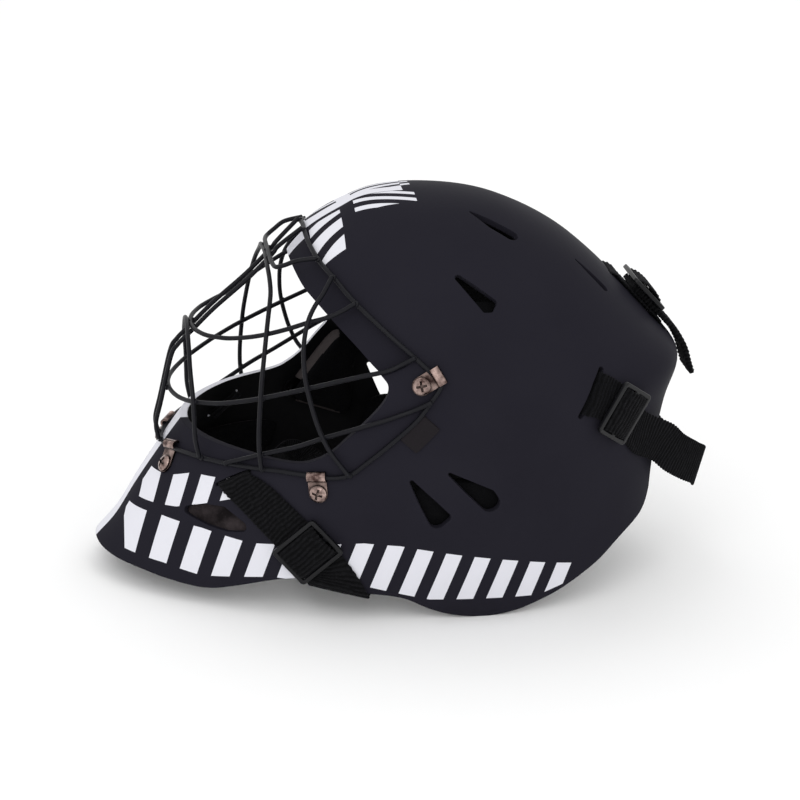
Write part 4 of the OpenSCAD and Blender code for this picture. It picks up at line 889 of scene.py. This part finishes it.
# Profiles from the middle of the front over the border to the middle of the back, as (share of
# the radius, share of the thickness): a crowned cushion and a flat block.
PLUMP = (
    (0, 1), (0.25, 0.995), (0.5, 0.97), (0.7, 0.92), (0.84, 0.82), (0.93, 0.68), (0.98, 0.5), (1, 0.32),
    (0.995, 0.16), (0.97, 0.05), (0.92, 0), (0.6, 0), (0.3, 0), (0, 0))
BLOCK = (
    (0, 1), (0.5, 1), (0.85, 1), (0.93, 0.98), (0.975, 0.9), (1, 0.7), (1, 0.4), (1, 0.1), (0.99, 0),
    (0.6, 0), (0, 0))


def cushion(name, at, exponent, sides=96, profile=PLUMP):
    """Closed cushion on polar rings: at radius r and angle f, the place is
    (r cos(f)^(2/n), r sin(f)^(2/n)) of the outline, with r and the share of the thickness
    given by the profile."""
    turn = np.arange(sides) * 2 * np.pi / sides
    c, s = np.cos(turn), np.sin(turn)
    outline = [np.sign(part) * np.abs(part) ** (2 / exponent) for part in (c, s)]
    profile = smooth_line(profile, 3)
    inner = profile[1:-1]
    grid = at(inner[:, :1] * outline[0], inner[:, :1] * outline[1],
              np.broadcast_to(inner[:, 1:], (len(inner), sides)))
    ends = [at(*(np.full((1, 1), v) for v in (0.0, 0.0, profile[e, 1]))).reshape(1, 3) for e in (0, -1)]
    count = len(inner)
    k = np.arange(sides)
    last = (count - 1) * sides
    faces = ring_faces(count, sides).tolist()
    faces += np.stack([0 * k + count * sides, (k + 1) % sides, k], -1).tolist()
    faces += np.stack([0 * k + count * sides + 1, last + k, last + (k + 1) % sides], -1).tolist()
    return face_out(new_object(name, np.vstack([grid.reshape(-1, 3), *ends]), faces))


def paint_faces(piece, kind, test):
    """Gives another material to the faces whose normals and centres pass the test."""
    piece.data.materials.append(kind)
    faces = piece.data.polygons
    out, at = np.empty(len(faces) * 3), np.empty(len(faces) * 3)
    faces.foreach_get("normal", out)
    faces.foreach_get("center", at)
    faces.foreach_set("material_index", test(out.reshape(-1, 3), at.reshape(-1, 3)).astype(np.int32))


def level_pad(first_angle, last_angle, low, high, thickness=SHEET):
    """Place on the inside of the shell between two angles, and two heights in shares of the
    shell's height: s and t go over them from -1 to 1, and the share goes inward."""
    def at(s, t, share):
        angle = (first_angle + last_angle) / 2 + s * (last_angle - first_angle) / 2
        z = SHELL_HEIGHT * ((low + high) / 2 + t * (high - low) / 2)
        return shell_skin(level_of(z, 320), angle, -PAD_LIFT - share * thickness)
    return at


def crown_pad(s, t, share):
    """Round place under the crown: v = 1.6 times the distance from the middle, at its angle."""
    v = np.maximum(1.6 * np.hypot(s, t), 0.03)
    return shell_skin(v, np.degrees(np.arctan2(t, s)), -PAD_LIFT - share * SHEET)


def jaw_at(s, t, share):
    """Place in the four-sided patch of the side view between the corners of the jaw pad."""
    a, b = (1 + s)[..., None] / 2, (1 + t)[..., None] / 2
    low = np.array([-22, 54]) * (1 - a) + np.array([-68, 72]) * a
    high = np.array([-20, 104]) * (1 - a) + np.array([-34, 114]) * a
    spot = low * (1 - b) + high * b
    return shell_over(spot[..., 0], spot[..., 1], -PAD_LIFT - share * SHEET)


def other_side(at):
    """The same pad on the wearer's other side."""
    return lambda s, t, share: at(s, t, share) * [1, -1, 1]


side_at, cheek_at = level_pad(58, 98, 0.6335, 0.8264), level_pad(74, 96, 0.3828, 0.5756)
lower_at, high_lower_at = (level_pad(69, 96, 0.1, top, 13.2) for top in (0.304, 0.378))
for node, at in (
        ("pad_brow", level_pad(148, 212, 0.9084, 0.9518, 9.6)), ("pad_crown", crown_pad),
        ("pad_side_right", side_at), ("pad_side_left", other_side(side_at)),
        ("pad_rear", level_pad(-30, 30, 0.6798, 0.7955)),
        ("pad_cheek_right", cheek_at), ("pad_cheek_left", other_side(cheek_at)),
        ("pad_chin", level_pad(118, 242, 0.15, 0.27, 7.2)),
        ("pad_lower_right", lower_at), ("pad_lower_left", other_side(high_lower_at)),
        ("pad_jaw_right", jaw_at), ("pad_jaw_left", other_side(jaw_at))):
    shape = cushion(node + "_foam", at, 2 if node == "pad_crown" else FOAM_CORNER)
    piece = finish_piece(shape, foam, "foam", "helmet", node)
    if "jaw" in node:
        # A round pocket leaves room for the clip's nut.
        pocket = hole_tool("pocket", [(-58.5, 76, 7.75)], -1 if "right" in node else 1)
        piece = carve(piece, [paint_all(pocket, foam)])
        paint_faces(piece, cut_foam, lambda out, at: (np.abs(out[:, 1]) < 0.72) & (out[:, 0] < 0))
    if "chin" in node:
        paint_faces(piece, bare_foam, lambda out, at: np.sum(out[:, :2] * at[:, :2], 1) > 0)


# Chin cup.
# The same foam, moulded thin at its border and bent round the chin between the two straps.
def cup_at(s, t, share):
    """Bowl 66 mm wide and 40 mm high, 15 s^2 + 7 t^2 mm deep, of foam 9 mm thick."""
    depth = 15 * s ** 2 + 7 * t ** 2 + 9 * share
    return np.stack([depth - 79.6, 33 * s, 45.97 + 19.8 * t - 3.15 * share], -1)


cup = finish_piece(cushion("chin_cup_foam", cup_at, 2.3), foam, "foam", "helmet", "chin_cup")


# Ear patches.
# Thin blocks of soft brown-black rubber, glued flat over the shell beside the cage's corner.
rubber, tree, shader = material("matte_rubber", Base_Color=linear("#1B181B"), Roughness=0.8,
                                Specular_IOR_Level=0.12)
grain(tree, shader, 600, 0.0001, 4.0)
# The columns are the patch's axes along its short side, along its long side and off the shell.
PATCH_AXES = np.array([
    [-0.75357, 0.646, -0.1217], [-0.09523, 0.0759, 0.99256], [0.65043, 0.75956, 0.00433]])
PATCH_MIDDLE = np.array([-6.4954, 105.215, 115.108])
PATCH_HALF = 6, 9.25


def patch_at(s, t, share):
    """Place on a flat rectangle, laid over the shell from the side, 1.4 mm thick."""
    spot = np.stack([PATCH_HALF[0] * s, PATCH_HALF[1] * t, 0 * s], -1) @ PATCH_AXES.T + PATCH_MIDDLE
    return shell_over(spot[..., 0], spot[..., 2], 0.02 + 1.38 * share)


for side_name, at in (("right", patch_at), ("left", other_side(patch_at))):
    finish_piece(cushion("ear_patch_rubber_" + side_name, at, 14, profile=BLOCK), rubber, "patches",
                 "helmet", "ear_patch_" + side_name)


# Floor, light and camera.
# A plain white floor and surround, with a weak soft light from the front of the wearer's left,
# a weaker one above and the weakest behind. The camera stands before the wearer's left side.
floor_tone, tree, shader = material("white_floor", Base_Color=linear("#FCFCFC"), Roughness=0.9)
floor_corners = [(4000 * x, 4000 * y, -0.2) for x, y in ((-1, -1), (1, -1), (1, 1), (-1, 1))]
floor = new_object("floor", floor_corners, [(0, 1, 2, 3)])
paint_all(floor, floor_tone)

world = bpy.data.worlds.new("studio")
world.use_nodes = True
bpy.context.scene.world = world
world.node_tree.nodes["Background"].inputs["Color"].default_value = (1, 1, 1, 1)
world.node_tree.nodes["Background"].inputs["Strength"].default_value = 1.0


def soft_light(name, place, aim, size, power):
    """A square area light of this size in metres, turned towards aim."""
    lamp = bpy.data.lights.new(name, "AREA")
    lamp.shape, lamp.size, lamp.energy = "SQUARE", size, power
    light = linked(name, lamp)
    light.location = place
    light.rotation_euler = (Vector(aim) - Vector(place)).to_track_quat("-Z", "Y").to_euler()


soft_light("key", (-0.6, -1.6, 1.2), (0, 0, 0.1), 1.2, 8)
soft_light("top", (0.1, 0.0, 2.0), (0, 0, 0.1), 1.6, 1.5)
soft_light("back", (1.2, 1.3, 1.0), (0, 0, 0.1), 1.0, 0.5)

camera = linked("camera", bpy.data.cameras.new("camera"))
camera.data.sensor_width = 36
camera.data.lens = 112.5
camera.data.clip_end = 20
camera.matrix_world = Matrix((
    (0.99065, 0.00019, -0.13643, -0.20082), (-0.12880, 0.33103, -0.93479, -1.35545),
    (0.04498, 0.94362, 0.32796, 0.57354), (0, 0, 0, 1)))
bpy.context.scene.camera = camera
bpy.context.scene.view_settings.view_transform = "Standard"
